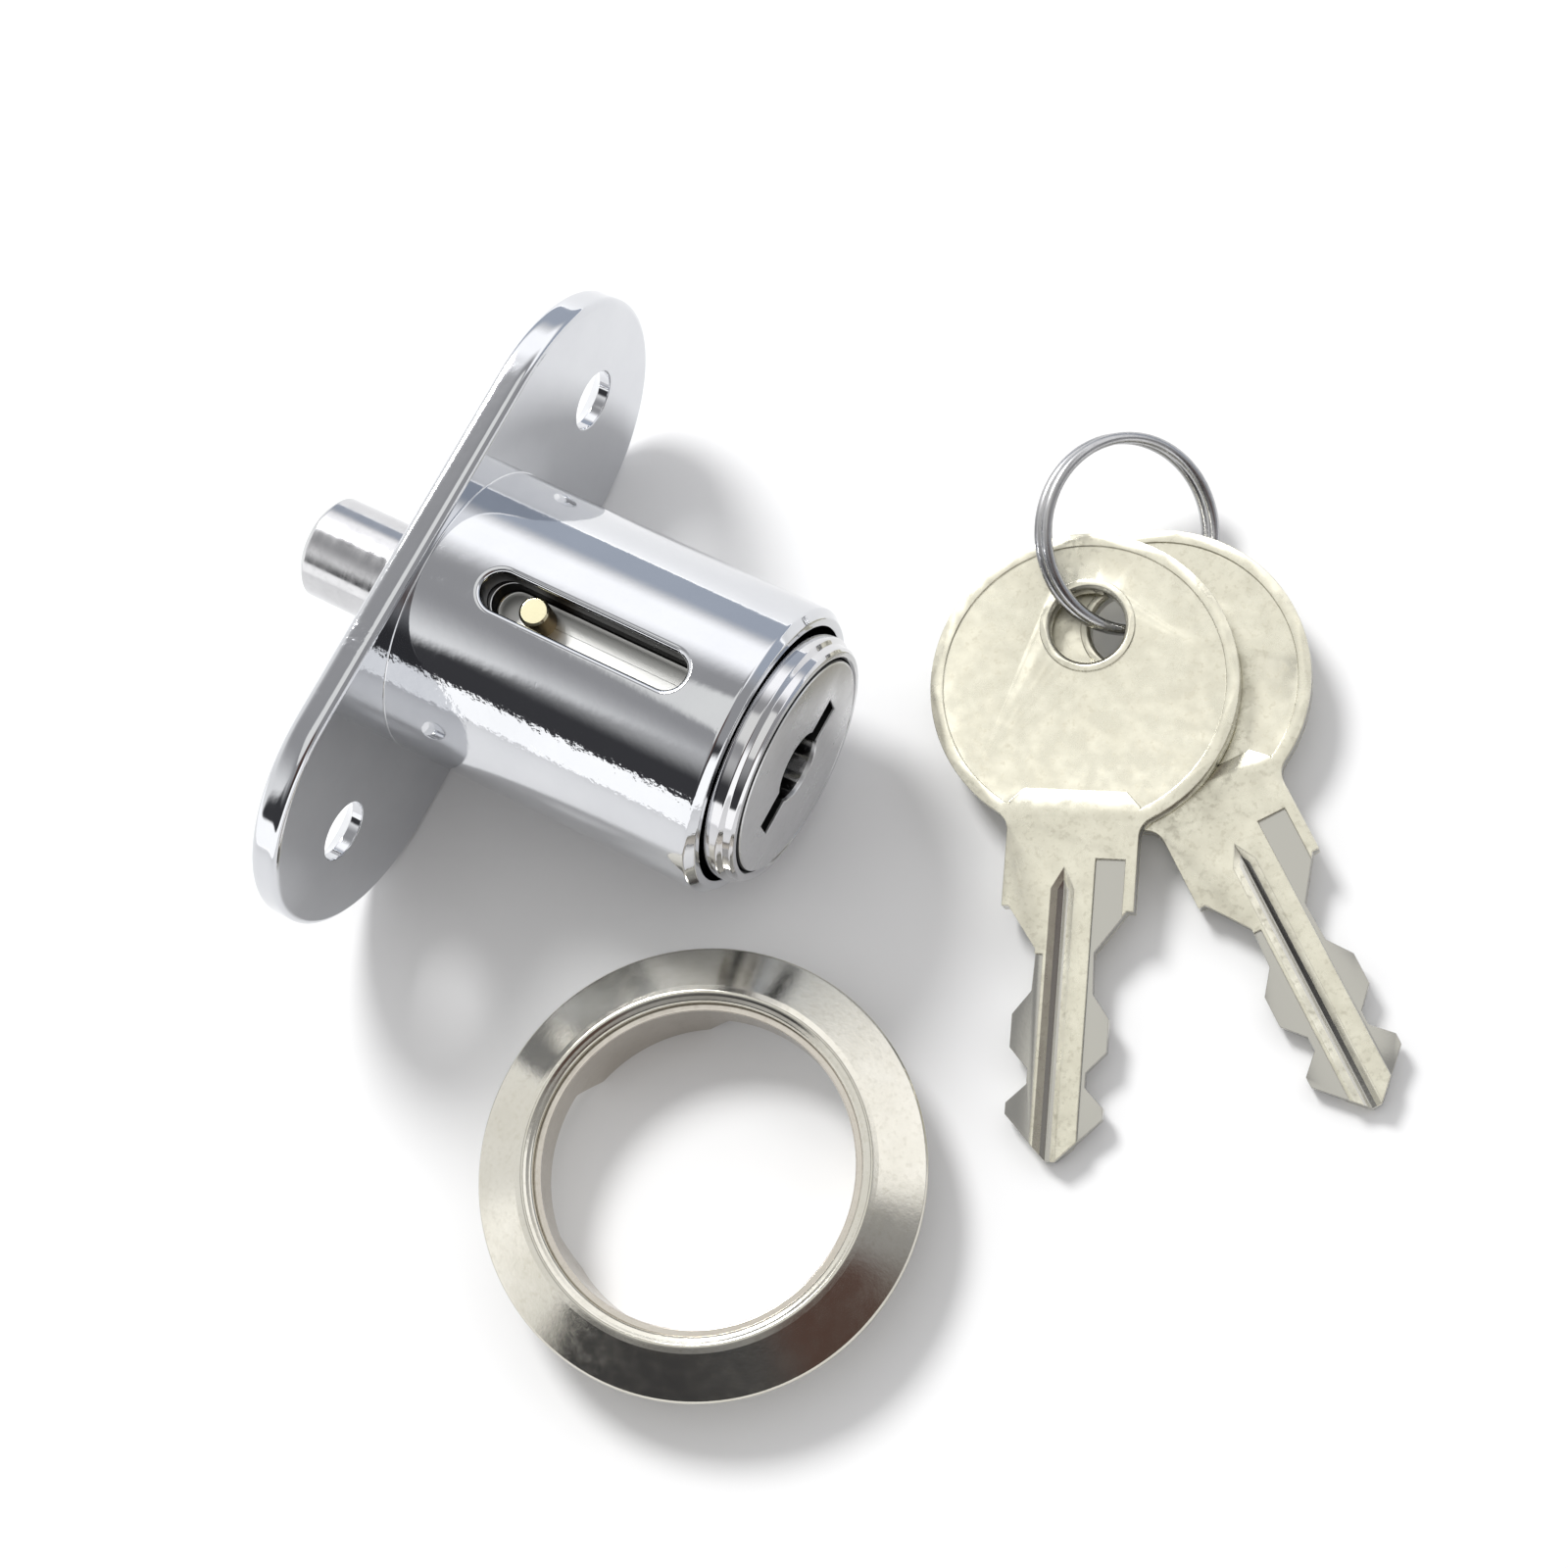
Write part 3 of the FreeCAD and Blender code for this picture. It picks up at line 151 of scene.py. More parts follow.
def worked_copy(name, node_name, body, material, width):
    """A merged copy of a CAD node with its flats joined and its edges rounded a little."""
    mesh = frame["nodes"][node_name].data.copy()
    mesh.name = name
    work = bmesh.new()
    work.from_mesh(mesh)
    bmesh.ops.remove_doubles(work, verts=work.verts, dist=1.5e-6)
    bmesh.ops.dissolve_limit(work, angle_limit=math.radians(0.5), verts=work.verts, edges=work.edges)
    short = [edge for edge in work.edges if edge.calc_length() < 0.1 * MM]
    bmesh.ops.collapse(work, edges=short)
    work.to_mesh(mesh)
    work.free()
    mesh.shade_smooth()
    obj = bpy.data.objects.new(name, mesh)
    bpy.context.scene.collection.objects.link(obj)
    edges = obj.modifiers.new("edge_rounding", "BEVEL")
    edges.width = width * MM
    edges.segments = 3
    edges.limit_method = "ANGLE"
    edges.angle_limit = math.radians(24)
    edges.use_clamp_overlap = False
    edges.harden_normals = True
    finished(obj, body, [node_name], material)


def softened(corners, steps=5, hold=0.05):
    """A profile through (along, out, radius) corners: each corner becomes an arc of its radius, and a
    point just outside each end of the arc keeps the straight parts straight."""
    corners = np.array(corners, float)
    points = [corners[0, :2]]
    for before, corner, after in zip(corners[:-2], corners[1:-1], corners[2:]):
        here, radius = corner[:2], corner[2]
        back, on = before[:2] - here, after[:2] - here
        back_length, on_length = np.linalg.norm(back), np.linalg.norm(on)
        back, on = back / back_length, on / on_length
        half = math.acos(np.clip(back @ on, -1, 1)) / 2
        reach = min(radius / math.tan(half), back_length * 0.48, on_length * 0.48)
        radius = reach * math.tan(half)
        middle = here + (back + on) / np.linalg.norm(back + on) * radius / math.sin(half)
        first, last = here + back * reach - middle, here + on * reach - middle
        swing = math.pi - 2 * half
        share = np.linspace(0, 1, steps + 1)[:, None]
        arc = (first * np.sin((1 - share) * swing) + last * np.sin(share * swing)) / math.sin(swing)
        ease = min(hold, radius * 0.5)
        if back_length > reach + ease * 2:
            points.append(here + back * (reach + ease))
        points.extend(middle + arc)
        if on_length > reach + ease * 2:
            points.append(here + on * (reach + ease))
    points.append(corners[-1, :2])
    return np.array(points)


def turned_x(profile, angles):
    """The (along, out) profile turned about X: y is out times sine, z is out times cosine of each angle."""
    along, out = profile[:, :1], profile[:, 1:]
    return np.stack([along + 0 * angles, out * np.sin(angles), out * np.cos(angles)], -1)


def turned_z(profile, angles, centre, foot):
    """The (out, up) profile turned about an upright axis through the centre."""
    out, up = profile[:, :1], profile[:, 1:]
    return np.stack([centre[0] + out * np.cos(angles), centre[1] + out * np.sin(angles),
                     foot + up + 0 * angles], -1)


def spread(low, high, count):
    """Evenly spaced values, both ends among them."""
    return np.linspace(low, high, count + 1)


def around(count, start=-180.0):
    """Angles all the way round, in radians, the first not repeated."""
    return np.radians(start + 360.0 * np.arange(count) / count)


def window_loop(grid, rows, columns, backwards=False):
    """The closed border of a block of a grid, from the middle of its last row, towards its last column.
    Backwards takes the grid's rows from the other end."""
    if backwards:
        grid, rows = grid[::-1], (len(grid) - 1 - rows[1], len(grid) - 1 - rows[0])
    first, last = rows
    left, right = columns
    middle = (left + right) // 2
    row = np.r_[np.full(right - middle, last), np.arange(last, first, -1), np.full(right - left, first),
                np.arange(first, last), np.full(middle - left, last)]
    column = np.r_[np.arange(middle, right), np.full(last - first, right), np.arange(right, left, -1),
                   np.full(last - first, left), np.arange(left, middle)]
    return grid[row, column % grid.shape[1]]


def mirrored(loop):
    """A loop read the other way round, from the same first point."""
    return np.roll(loop[::-1], 1, axis=0)


def without(faces, blocks):
    """The grid's quads less those of the blocks."""
    keep = np.ones(faces.shape[:2], bool)
    for (first, last), (left, right) in blocks:
        keep[first:last, np.arange(left, right) % faces.shape[1]] = False
    return faces[keep]


def slot_outline(start, end, half, corner, count):
    """A round-cornered slot in x and y from start to end: points equally spaced along it and their outward
    directions, from the middle of the far end towards +Y."""
    straight = end - start - 2 * corner
    upright = 2 * (half - corner)
    bend = math.pi / 2 * corner
    lengths = [upright / 2, bend, straight, bend, upright, bend, straight, bend, upright / 2]
    marks = np.r_[0, np.cumsum(lengths)]
    walk = np.arange(count) / count * marks[-1]
    side = np.clip(np.searchsorted(marks, walk, side="right") - 1, 0, 8)
    rest = walk - marks[side]
    on_bend = side % 2 == 1
    turn = np.array([0, 0, 90, 90, 180, 180, 270, 270, 360.0])[side]
    turn = np.radians(turn) + np.where(on_bend, rest / corner, 0)
    normal = np.stack([np.cos(turn), np.sin(turn)], -1)
    tangent = np.stack([-np.sin(turn), np.cos(turn)], -1)
    far, near, top = end - corner, start + corner, half - corner
    begin = np.array([[end, 0], [far, top], [far, half], [near, top], [start, top], [near, -top],
                      [near, -half], [far, -top], [end, -top]])[side]
    straight_part = begin + tangent * rest[:, None]
    bent_part = begin + normal * corner
    return np.where(on_bend[:, None], bent_part, straight_part), normal


def on_tube(flat, radius, sign=1):
    """Points given in x and y, set on a tube about X: z is the root of radius squared less y squared."""
    return np.stack([flat[:, 0], flat[:, 1], sign * np.sqrt(radius ** 2 - flat[:, 1] ** 2)], -1)


def skin(border, flat, radius, steps, sign=1):
    """Loops on a tube from a border to an outline, evenly between them in x and y."""
    return [on_tube(border[:, :2] * (1 - s) + flat * s, radius, sign) for s in spread(0, 1, steps)]


def brim(outline, normal, radius, edge, outer, sign=1, steps=5):
    """Loops over the rounded edge of a slot in a tube, a quarter round from its skin into its wall: down from
    an outer skin, up from a bore."""
    loops = []
    for turn in spread(0, math.pi / 2, steps):
        flat = outline + normal * edge * (1 - math.sin(turn))
        lift = -edge * (1 - math.cos(turn)) if outer else edge * (1 - math.cos(turn))
        loop = on_tube(flat, radius, sign)
        loop[:, 2] += sign * lift
        loops.append(loop)
    return loops


def nearest(values, wanted):
    """The number of the value that lies nearest to the wanted one."""
    return int(np.argmin(abs(values - wanted)))


TURN = around(COLUMNS)


def lock_body():
    """Flange and barrel: a profile turned about X with the guide slot and the latch window let into it, flat
    flange faces spread between loops, and an edge profile carried round the flange's outline."""
    grids = Grids()
    long_rows = 68
    start, skin_end, bore_end = 2.4, 19.5, 18.5
    outer = softened([(0, BARREL_FOOT, 0), (0, BARREL, 0.14), (21.5, BARREL, 0.25), (BARREL_END, 9.05, 0.16),
                      (BARREL_END, MOUTH, 0.12), (MOUTH_START, MOUTH, 0.1), (MOUTH_START, BORE, 0.08),
                      (bore_end, BORE, 0)])
    inner = softened([(start, BORE, 0), (BORE_START, BORE, 0.1), (BORE_START, BOLT_HOLE, 0.1),
                      (-FLANGE, BOLT_HOLE, 0.1), (-FLANGE, BOLT_MOUTH, 0)])
    cut = int(np.argmax(outer[:, 0] > start))
    skin_rows = np.stack([spread(start, skin_end, long_rows), np.full(long_rows + 1, BARREL)], -1)
    bore_rows = np.stack([spread(bore_end, start, long_rows), np.full(long_rows + 1, BORE)], -1)
    grid = turned_x(np.concatenate([outer[:cut], skin_rows, outer[cut:-1], bore_rows, inner[1:]]), TURN)

    bore_first = long_rows + len(outer)
    slot_columns = (TOP - 11, TOP + 11)
    skin_block = ((cut, cut + long_rows), slot_columns)
    bore_block = ((bore_first, bore_first + long_rows), slot_columns)
    window_first = bore_first + nearest(bore_rows[:-1, 0], WINDOW[1] + 1.2)
    window_last = bore_first + nearest(bore_rows[:-1, 0], WINDOW[0] - 1.2)
    window_block = ((window_first, window_last), (-11, 11))
    faces = quads(*grid.shape[:2], close_columns=True)
    grids.add(grid, without(faces, [skin_block, bore_block, window_block]))

    border = window_loop(grid, *skin_block)
    outline, normal = slot_outline(*SLOT, SLOT_HALF, SLOT_HALF - HAIR, len(border))
    rim = 0.34
    loops = skin(border, outline + normal * (rim + 0.05), BARREL, 6)
    loops += brim(outline, normal, BARREL, rim, True)
    loops += brim(outline, normal, BORE, 0.1, False)[::-1]
    loops += skin(window_loop(grid, *bore_block, True), outline + normal * 0.15, BORE, 5)[::-1]
    grids.loops(*loops)

    border = mirrored(window_loop(grid, *window_block, True))
    outline, normal = slot_outline(*WINDOW, WINDOW_HALF, 0.2, len(border))
    loops = skin(border, outline + normal * 0.08, BORE, 3, -1)
    loops += brim(outline, normal, BORE, 0.05, False, -1, 3)
    floor = np.c_[outline, np.full(len(outline), WINDOW_FLOOR)]
    middle = np.array([sum(WINDOW) / 2, 0, WINDOW_FLOOR])
    loops += [floor, middle + (floor - middle) * 0.9, middle + (floor - middle) * 1e-4]
    grids.loops(*loops)

    flange(grids)
    piece("lock_body", grids, "housing", ["housing"], chrome_housing)


def flange_rectangle():
    """Where the ray at each column's angle meets the rectangle round the barrel's foot, its corners kept on
    the columns that are FLANGE_CORNER columns away from upright."""
    s, c = np.sin(TURN), np.cos(TURN)
    lean = math.tan(FLANGE_CORNER * 2 * math.pi / COLUMNS)
    upright = abs(s) <= abs(c) * lean * 1.000001
    safe_c, safe_s = np.where(abs(c) < 1e-9, 1, abs(c)), np.where(abs(s) < 1e-9, 1, abs(s))
    y = np.where(upright, END_AT * s / safe_c / lean, END_AT * np.sign(s))
    z = np.where(upright, FLAT_HALF * np.sign(c), FLAT_HALF * c / safe_s * lean)
    return np.stack([y, z], -1)


def at_x(x, flat):
    """Points given in y and z, set at one x, or at an x for each row."""
    return np.concatenate([np.broadcast_to(x, flat.shape[:2] + (1,)), flat], -1)


def between(inner, outer, shares):
    """Rows of points from one loop to another, at these shares of the way."""
    return inner[None] + (outer - inner)[None] * shares[:, None, None]


def flange(grids):
    """Front and rear of the flange as loops between barrel, screw holes and edge, and its crowned edge, which
    stands out by 1 less a power of the distance from its middle."""
    rectangle = flange_rectangle()
    shares = np.array([0, 0.02, 0.35, 0.7, 0.98, 1])
    arc = np.radians(spread(-90, 90, 60))
    end_arc = np.stack([END_AT + FLAT_HALF * np.cos(arc), FLAT_HALF * np.sin(arc)], -1)
    side = np.arange(TOP + FLANGE_CORNER, TOP + COLUMNS // 2 - FLANGE_CORNER + 1)
    border = np.concatenate([rectangle[side], end_arc[1:-1]])
    seen = np.arctan2(border[:, 1], border[:, 0] - SCREW_AT)
    ring = np.stack([np.cos(seen), np.sin(seen)], -1)
    screw = np.array([SCREW_AT, 0])
    hole = softened([(0, SCREW_HOLE + 0.16, 0), (0, SCREW_HOLE, 0.12), (-0.8, SCREW_HOLE, 0.06),
                     (-FLANGE, COUNTERSINK, 0.08), (-FLANGE, COUNTERSINK + 0.1, 0)], 4)
    hole_x, hole_radius = hole[:, 0][:, None, None], hole[:, 1][:, None, None]
    for x, middle, rim in ((0.0, BARREL_FOOT, hole[0, 1]), (-FLANGE, BOLT_MOUTH, hole[-1, 1])):
        inner = np.stack([middle * np.sin(TURN), middle * np.cos(TURN)], -1)
        grids.add(at_x(x, between(inner, rectangle, shares)), close_columns=True)
        for sign in (1, -1):
            flat = between(screw + ring * rim, border, shares)
            grids.add(at_x(x, flat * np.array([sign, 1])), close_columns=True)
    for sign in (1, -1):
        flat = (screw + ring[None] * hole_radius) * np.array([sign, 1])
        grids.add(at_x(hole_x, flat), close_columns=True)

    upper = rectangle[TOP - FLANGE_CORNER:TOP + FLANGE_CORNER + 1]
    right = end_arc[::-1][1:-1]
    line = np.concatenate([upper, right, -upper, -right])
    centre = np.clip(line[:, :1], -END_AT, END_AT) * np.array([1, 0])
    outwards = line - centre
    outwards = outwards / np.linalg.norm(outwards, axis=1, keepdims=True)
    across = (1 - np.cos(np.linspace(0, math.pi, 25))) / 2
    crown = CROWN * (1 - abs(2 * across - 1) ** 7)
    place = line[None] + outwards[None] * crown[:, None, None]
    grids.add(at_x(-FLANGE * across[:, None, None], place), close_columns=True)


def ray_to_box(angles, wide, high):
    """How far a ray from the middle goes inside a box of those half sizes, at each angle from +Z."""
    s, c = abs(np.sin(angles)), abs(np.cos(angles))
    return np.minimum(wide / np.maximum(s, 1e-9), high / np.maximum(c, 1e-9))


def button():
    """The push cylinder: its outer profile turned about X with the pin groove and the leaf channel let in,
    and its inside as a radius at each angle, a cross of wafer grooves over a round bore."""
    grids = Grids()
    rows = 58
    start, skin_end = 4.0, 18.86
    outer = softened([(PLUG_HOLE_START, TAIL_HOLE, 0), (SLEEVE_START, TAIL_HOLE, 0.1),
                      (SLEEVE_START, SLEEVE, 0.15), (SLEEVE_END, SLEEVE, 0.05), (SLEEVE_END, HEAD, 0.1),
                      (22.9, HEAD, 0.16), (23.17, 7.86, 0.1), (23.62, 7.78, 0.14), (BUTTON_END, 7.6, 0.08),
                      (BUTTON_END, 7.28, 0.04), (23.65, RECESS, 0.04), (RECESS_START, RECESS, 0)], 6)
    cut = int(np.argmax((outer[:, 0] > start + 0.1) & (outer[:, 1] > 6)))
    skin_rows = np.stack([spread(start, skin_end, rows), np.full(rows + 1, SLEEVE)], -1)
    grid = turned_x(np.concatenate([outer[:cut], skin_rows, outer[cut:]]), TURN)
    groove_block = ((cut, cut + rows), (TOP - 12, TOP + 12))
    first = cut + nearest(skin_rows[:, 0], CHANNEL[0] - 0.5)
    last = cut + nearest(skin_rows[:, 0], CHANNEL[1] + 0.55)
    channel_block = ((first, last), (-14, 14))
    faces = quads(*grid.shape[:2], close_columns=True)
    grids.add(grid, without(faces, [groove_block, channel_block]))

    border = window_loop(grid, *groove_block)
    outline, normal = slot_outline(*GROOVE, GROOVE_HALF, GROOVE_HALF - HAIR, len(border))
    loops = skin(border, outline + normal * 0.1, SLEEVE, 4)
    loops += brim(outline, normal, SLEEVE, 0.07, True, 1, 3)
    floor = np.c_[outline, np.full(len(outline), GROOVE_FLOOR)]
    spine_x = np.clip(outline[:, 0], GROOVE[0] + GROOVE_HALF, GROOVE[1] - GROOVE_HALF)
    spine = np.c_[spine_x, np.zeros(len(outline)), np.full(len(outline), GROOVE_FLOOR)]
    inwards = -np.c_[normal, np.zeros(len(normal))]
    upwards = np.array([0, 0, 1.0])
    fillet = [floor + inwards * (0.1 * (1 - math.cos(turn))) + upwards * (0.1 * (1 - math.sin(turn)))
              for turn in spread(0, math.pi / 2, 3)]
    loops += fillet + [fillet[-1] * 0.8 + spine * 0.2, fillet[-1] * 0.01 + spine * 0.99]
    grids.loops(*loops)

    border = mirrored(window_loop(grid, *channel_block))
    outline, normal = slot_outline(*CHANNEL, CHANNEL_HALF, 0.1, len(border))
    loops = skin(border, outline + normal * 0.08, SLEEVE, 3, -1)
    loops += brim(outline, normal, SLEEVE, 0.05, True, -1, 3)
    slope_start, slope_length = CHANNEL[0] + 1.0, 5.1
    depth = -6.15 - 0.75 * np.clip((outline[:, 0] - slope_start) / slope_length, 0, 1)
    floor = np.c_[outline, depth]
    spine = np.c_[outline[:, 0], outline[:, 1] * 0.001, depth]
    loops += [floor, floor * 0.5 + spine * 0.5, spine]
    grids.loops(*loops)

    bore = np.full(COLUMNS, PLUG_HOLE)
    flat_cross = ray_to_box(TURN, WAFER_REACH, WAFER_HALF)
    tall_cross = ray_to_box(TURN, WAFER_HALF, WAFER_REACH)
    cross = np.maximum(np.maximum(flat_cross, tall_cross), bore)
    along = [RECESS_START, RECESS_START, WAFER_START, WAFER_START, PLUG_HOLE_START, PLUG_HOLE_START]
    out = [np.full(COLUMNS, RECESS), cross, cross, bore, bore, np.full(COLUMNS, TAIL_HOLE)]
    flat = np.stack([out * np.sin(TURN), out * np.cos(TURN)], -1)
    grids.add(at_x(np.array(along)[:, None, None], flat), close_columns=True)
    piece("button", grids, "push_cylinder", ["push_cylinder"], chrome_button)


def locking_bolt():
    """The bolt's profile turned about X."""
    profile = softened([(-11, 0, 0), (-11, 3.0, 0.08), (-10.6, 3.4, 0.16), (5.4, 3.4, 0.05), (5.4, 5.7, 0.12),
                        (8.2, 5.7, 0.12), (8.2, 2.5, 0.08), (6.9, 2.5, 0.05), (6.9, 0, 0)])
    grids = Grids().add(turned_x(profile, around(160)), close_columns=True)
    piece("locking_bolt", grids, "push_cylinder", ["bolt"], bolt_steel)


def pin():
    """The guide pin's profile turned about its own upright axis."""
    profile = softened([(0, 3.0, 0), (PIN, 3.0, 0.05), (PIN, 8.16, 0.06), (0.8, 8.3, 0.05), (0, 8.3, 0)])
    grids = Grids().add(turned_z(profile, around(64), (PIN_AT, 0), 0), close_columns=True)
    piece("brass_pin", grids, "push_cylinder", ["guide_pin"], pin_brass)


def trim_ring():
    """The pressed ring: face, rolled bead and collar as one closed profile turned about the upright axis."""
    profile = softened([
        (10.4, 3.0, 0), (10.15, 3.0, 0.12), (10.15, 5.66, 0.25), (10.5, 5.8, 0.2), (10.75, 5.95, 0.28),
        (11.2, 5.76, 0.3), (13.83, 4.22, 0.12), (13.93, 4.08, 0.06), (13.93, 3.75, 0.08), (13.62, 3.74, 0.1),
        (11.2, 5.08, 0.2), (10.7, 5.08, 0.1), (10.7, 3.0, 0.1), (10.4, 3.0, 0)], 6, 0.08)
    points = turned_z(profile, around(220), ROSETTE_AT, GROUND)
    grids = Grids().add(points, close_rows=True, close_columns=True)
    piece("trim_ring", grids, "rosette", ["rosette_ring"], rosette_nickel)


def trim_sleeve():
    """The sprung liner: a thin wall whose lower edge rises between the three tabs, straight with the distance
    from each gap's middle."""
    inner, middle, outer, top, tab = 9.7, 9.92, 10.15, 5.2, 2.6
    angles = around(360, 0.0)
    gaps = np.radians(np.array([-37, 83, 203.0]))
    away = (angles[None] - gaps[:, None] + math.pi) % (2 * math.pi) - math.pi
    side = np.where(abs(away) < math.pi / 2, abs(np.sin(away)) * middle, 99).min(axis=0)
    foot = tab * np.clip((6.0 - side) / 1.5, 0, 1)
    wall = softened([(middle, 0, 0), (outer, 0, 0.08), (outer, 1, 0.08), (inner, 1, 0.08), (inner, 0, 0.08),
                     (middle, 0, 0)], 4)
    out, share = wall[:, :1], wall[:, 1:]
    from_end = np.minimum(share, 1 - share) * 0.6
    up = np.where(share < 0.5, foot + from_end, top - from_end)
    x, y = ROSETTE_AT
    points = np.stack([x + out * np.cos(angles), y + out * np.sin(angles), GROUND + up], -1)
    grids = Grids().add(points, close_rows=True, close_columns=True)
    piece("trim_sleeve", grids, "rosette", ["rosette_sleeve"], sleeve_nickel)


def key_ring():
    """Wire carried along two flat rounds: the height goes from one to the other by a smooth step over the
    last 25 degrees of the first, and round ends close it."""
    wound, rise_end, rise_length = 695, 360, 25
    middle, half_pitch = 6.05, 0.415
    turn = np.radians(spread(0, wound, 420))
    step = np.clip((np.degrees(turn) - (rise_end - rise_length)) / rise_length, 0, 1)
    height = half_pitch * (2 * step * step * (3 - 2 * step) - 1)
    spine = np.stack([middle * np.cos(turn), middle * np.sin(turn), height], -1)
    out = np.stack([np.cos(turn), np.sin(turn), 0 * turn], -1)
    up = np.array([0, 0, 1.0])
    radius = np.full(len(turn), 0.369)
    radius[[0, -1]] = 1e-4
    radius[[1, -2]] = 0.31
    spine[[0, -1]] = spine[[1, -2]]
    section = around(20, 0.0)
    rim = out[:, None] * np.cos(section)[:, None] + up * np.sin(section)[:, None]
    tube = spine[:, None] + radius[:, None, None] * rim
    about = Matrix.Rotation(math.radians(RING_LEAN_TOWARDS), 3, "Z")
    lean = about @ Matrix.Rotation(math.radians(RING_LEAN), 3, "Y") @ about.inverted()
    grids = Grids().add(tube @ np.array(lean).T + np.array(RING_AT), close_columns=True)
    piece("key_ring", grids, "split_ring", ["split_ring"], ring_steel)


# Shader helpers

def group(name, inputs, outputs):
    """An empty shader node group with named inputs (name, kind, value) and outputs (name, kind)."""
    tree = bpy.data.node_groups.new(name, "ShaderNodeTree")
    for label, kind, value in inputs:
        socket = tree.interface.new_socket(label, in_out="INPUT", socket_type=f"NodeSocket{kind}")
        socket.default_value = value
    for label, kind in outputs:
        tree.interface.new_socket(label, in_out="OUTPUT", socket_type=f"NodeSocket{kind}")
    return tree, tree.nodes.new("NodeGroupInput").outputs, tree.nodes.new("NodeGroupOutput").inputs


def node(tree, kind, settings=None, **sockets):
    """A node with settings, its inputs given as values or as sockets to link from. An input goes by its name,
    with _ for a blank, or by i and its number."""
    made = tree.nodes.new(f"ShaderNode{kind}")
    for prop, value in (settings or {}).items():
        setattr(made, prop, value)
    for label, value in sockets.items():
        numbered = label[0] == "i" and label[1:].isdigit()
        socket = made.inputs[int(label[1:]) if numbered else label.replace("_", " ")]
        if isinstance(value, bpy.types.NodeSocket):
            tree.links.new(value, socket)
        else:
            socket.default_value = value
    return made


def maths(tree, operation, first, second=0.0, clamp=False):
    return node(tree, "Math", {"operation": operation, "use_clamp": clamp}, i0=first, i1=second).outputs[0]


def noise(tree, place, scale, detail=2.0, rough=0.5):
    return node(tree, "TexNoise", Vector=place, Scale=scale, Detail=detail, Roughness=rough).outputs[0]


def mixed(tree, mask, first, second):
    """The first colour where the mask is 0, the second where it is 1."""
    return node(tree, "Mix", {"data_type": "RGBA"}, Factor=mask, i6=first, i7=second).outputs[2]


def ranged(tree, value, start, end, low=0.0, high=1.0, kind="SMOOTHSTEP"):
    """Low at the start and high at the end, with a smooth step or a straight line between them."""
    return node(tree, "MapRange", {"interpolation_type": kind}, Value=value, From_Min=start, From_Max=end,
                To_Min=low, To_Max=high).outputs[0]


def ramp(tree, value, low, high):
    """Black up to one place and white from another on."""
    made = node(tree, "ValToRGB", Fac=value)
    for element, place, grey in zip(made.color_ramp.elements, (low, high), (0, 1)):
        element.position = place
        element.color = (grey, grey, grey, 1)
    return made.outputs["Color"]


def object_place(tree):
    """The tree's object coordinates, made where there are none."""
    found = [made for made in tree.nodes if made.bl_idname == "ShaderNodeTexCoord"]
    return (found[0] if found else tree.nodes.new("ShaderNodeTexCoord")).outputs["Object"]


# Effects that several finishes share

def make_ripple():
    """Cast and plated metal isn't quite even: slow waves with a few small pits, as a height from 0 to 1."""
    tree, given, out = group("plating_ripple", [
        ("Place", "Vector", (0, 0, 0)), ("Waves", "Float", 90.0), ("Pits", "Float", 0.3)],
        [("Height", "Float"), ("Pit", "Float")])
    slow = noise(tree, given["Place"], given["Waves"], 1.0, 0.4)
    fine = noise(tree, given["Place"], 1500.0)
    spots = noise(tree, given["Place"], 620.0, 3.0, 0.55)
    pit = maths(tree, "MULTIPLY", ramp(tree, spots, 0.66, 0.74), given["Pits"])
    height = maths(tree, "ADD", slow, maths(tree, "MULTIPLY", fine, 0.07))
    tree.links.new(maths(tree, "SUBTRACT", height, maths(tree, "MULTIPLY", pit, 0.12)), out["Height"])
    tree.links.new(pit, out["Pit"])
    return tree


def make_brushing():
    """Fine lines along one direction: noise on coordinates stretched by Stretch, as a height and a mask."""
    tree, given, out = group("brushed_lines", [
        ("Place", "Vector", (0, 0, 0)), ("Stretch", "Vector", (60, 900, 900)), ("Contrast", "Float", 0.5)],
        [("Height", "Float"), ("Mask", "Float")])
    stretched = node(tree, "Mapping", Vector=given["Place"], Scale=given["Stretch"]).outputs[0]
    patches = ramp(tree, noise(tree, stretched, 1.3), 0.4, 0.7)
    tree.links.new(maths(tree, "MULTIPLY", patches, given["Contrast"]), out["Mask"])
    tree.links.new(noise(tree, stretched, 4.0, 6.0, 0.7), out["Height"])
    return tree


def make_mottle():
    """Handled metal: patches of a second colour, with small darker specks."""
    tree, given, out = group("handled_mottle", [
        ("Place", "Vector", (0, 0, 0)), ("Clean", "Color", (0.8, 0.8, 0.8, 1)),
        ("Dull", "Color", (0.6, 0.6, 0.5, 1)), ("Patches", "Float", 260.0), ("Specks", "Float", 0.3)],
        [("Color", "Color"), ("Mask", "Float")])
    cloud = ramp(tree, noise(tree, given["Place"], given["Patches"], 5.0, 0.6), 0.35, 0.68)
    speck = ramp(tree, noise(tree, given["Place"], 2600.0, 2.0, 0.6), 0.52, 0.7)
    specks = maths(tree, "MULTIPLY", speck, given["Specks"])
    mask = maths(tree, "ADD", maths(tree, "MULTIPLY", cloud, 0.7), specks, True)
    tree.links.new(mixed(tree, mask, given["Clean"], given["Dull"]), out["Color"])
    tree.links.new(mask, out["Mask"])
    return tree


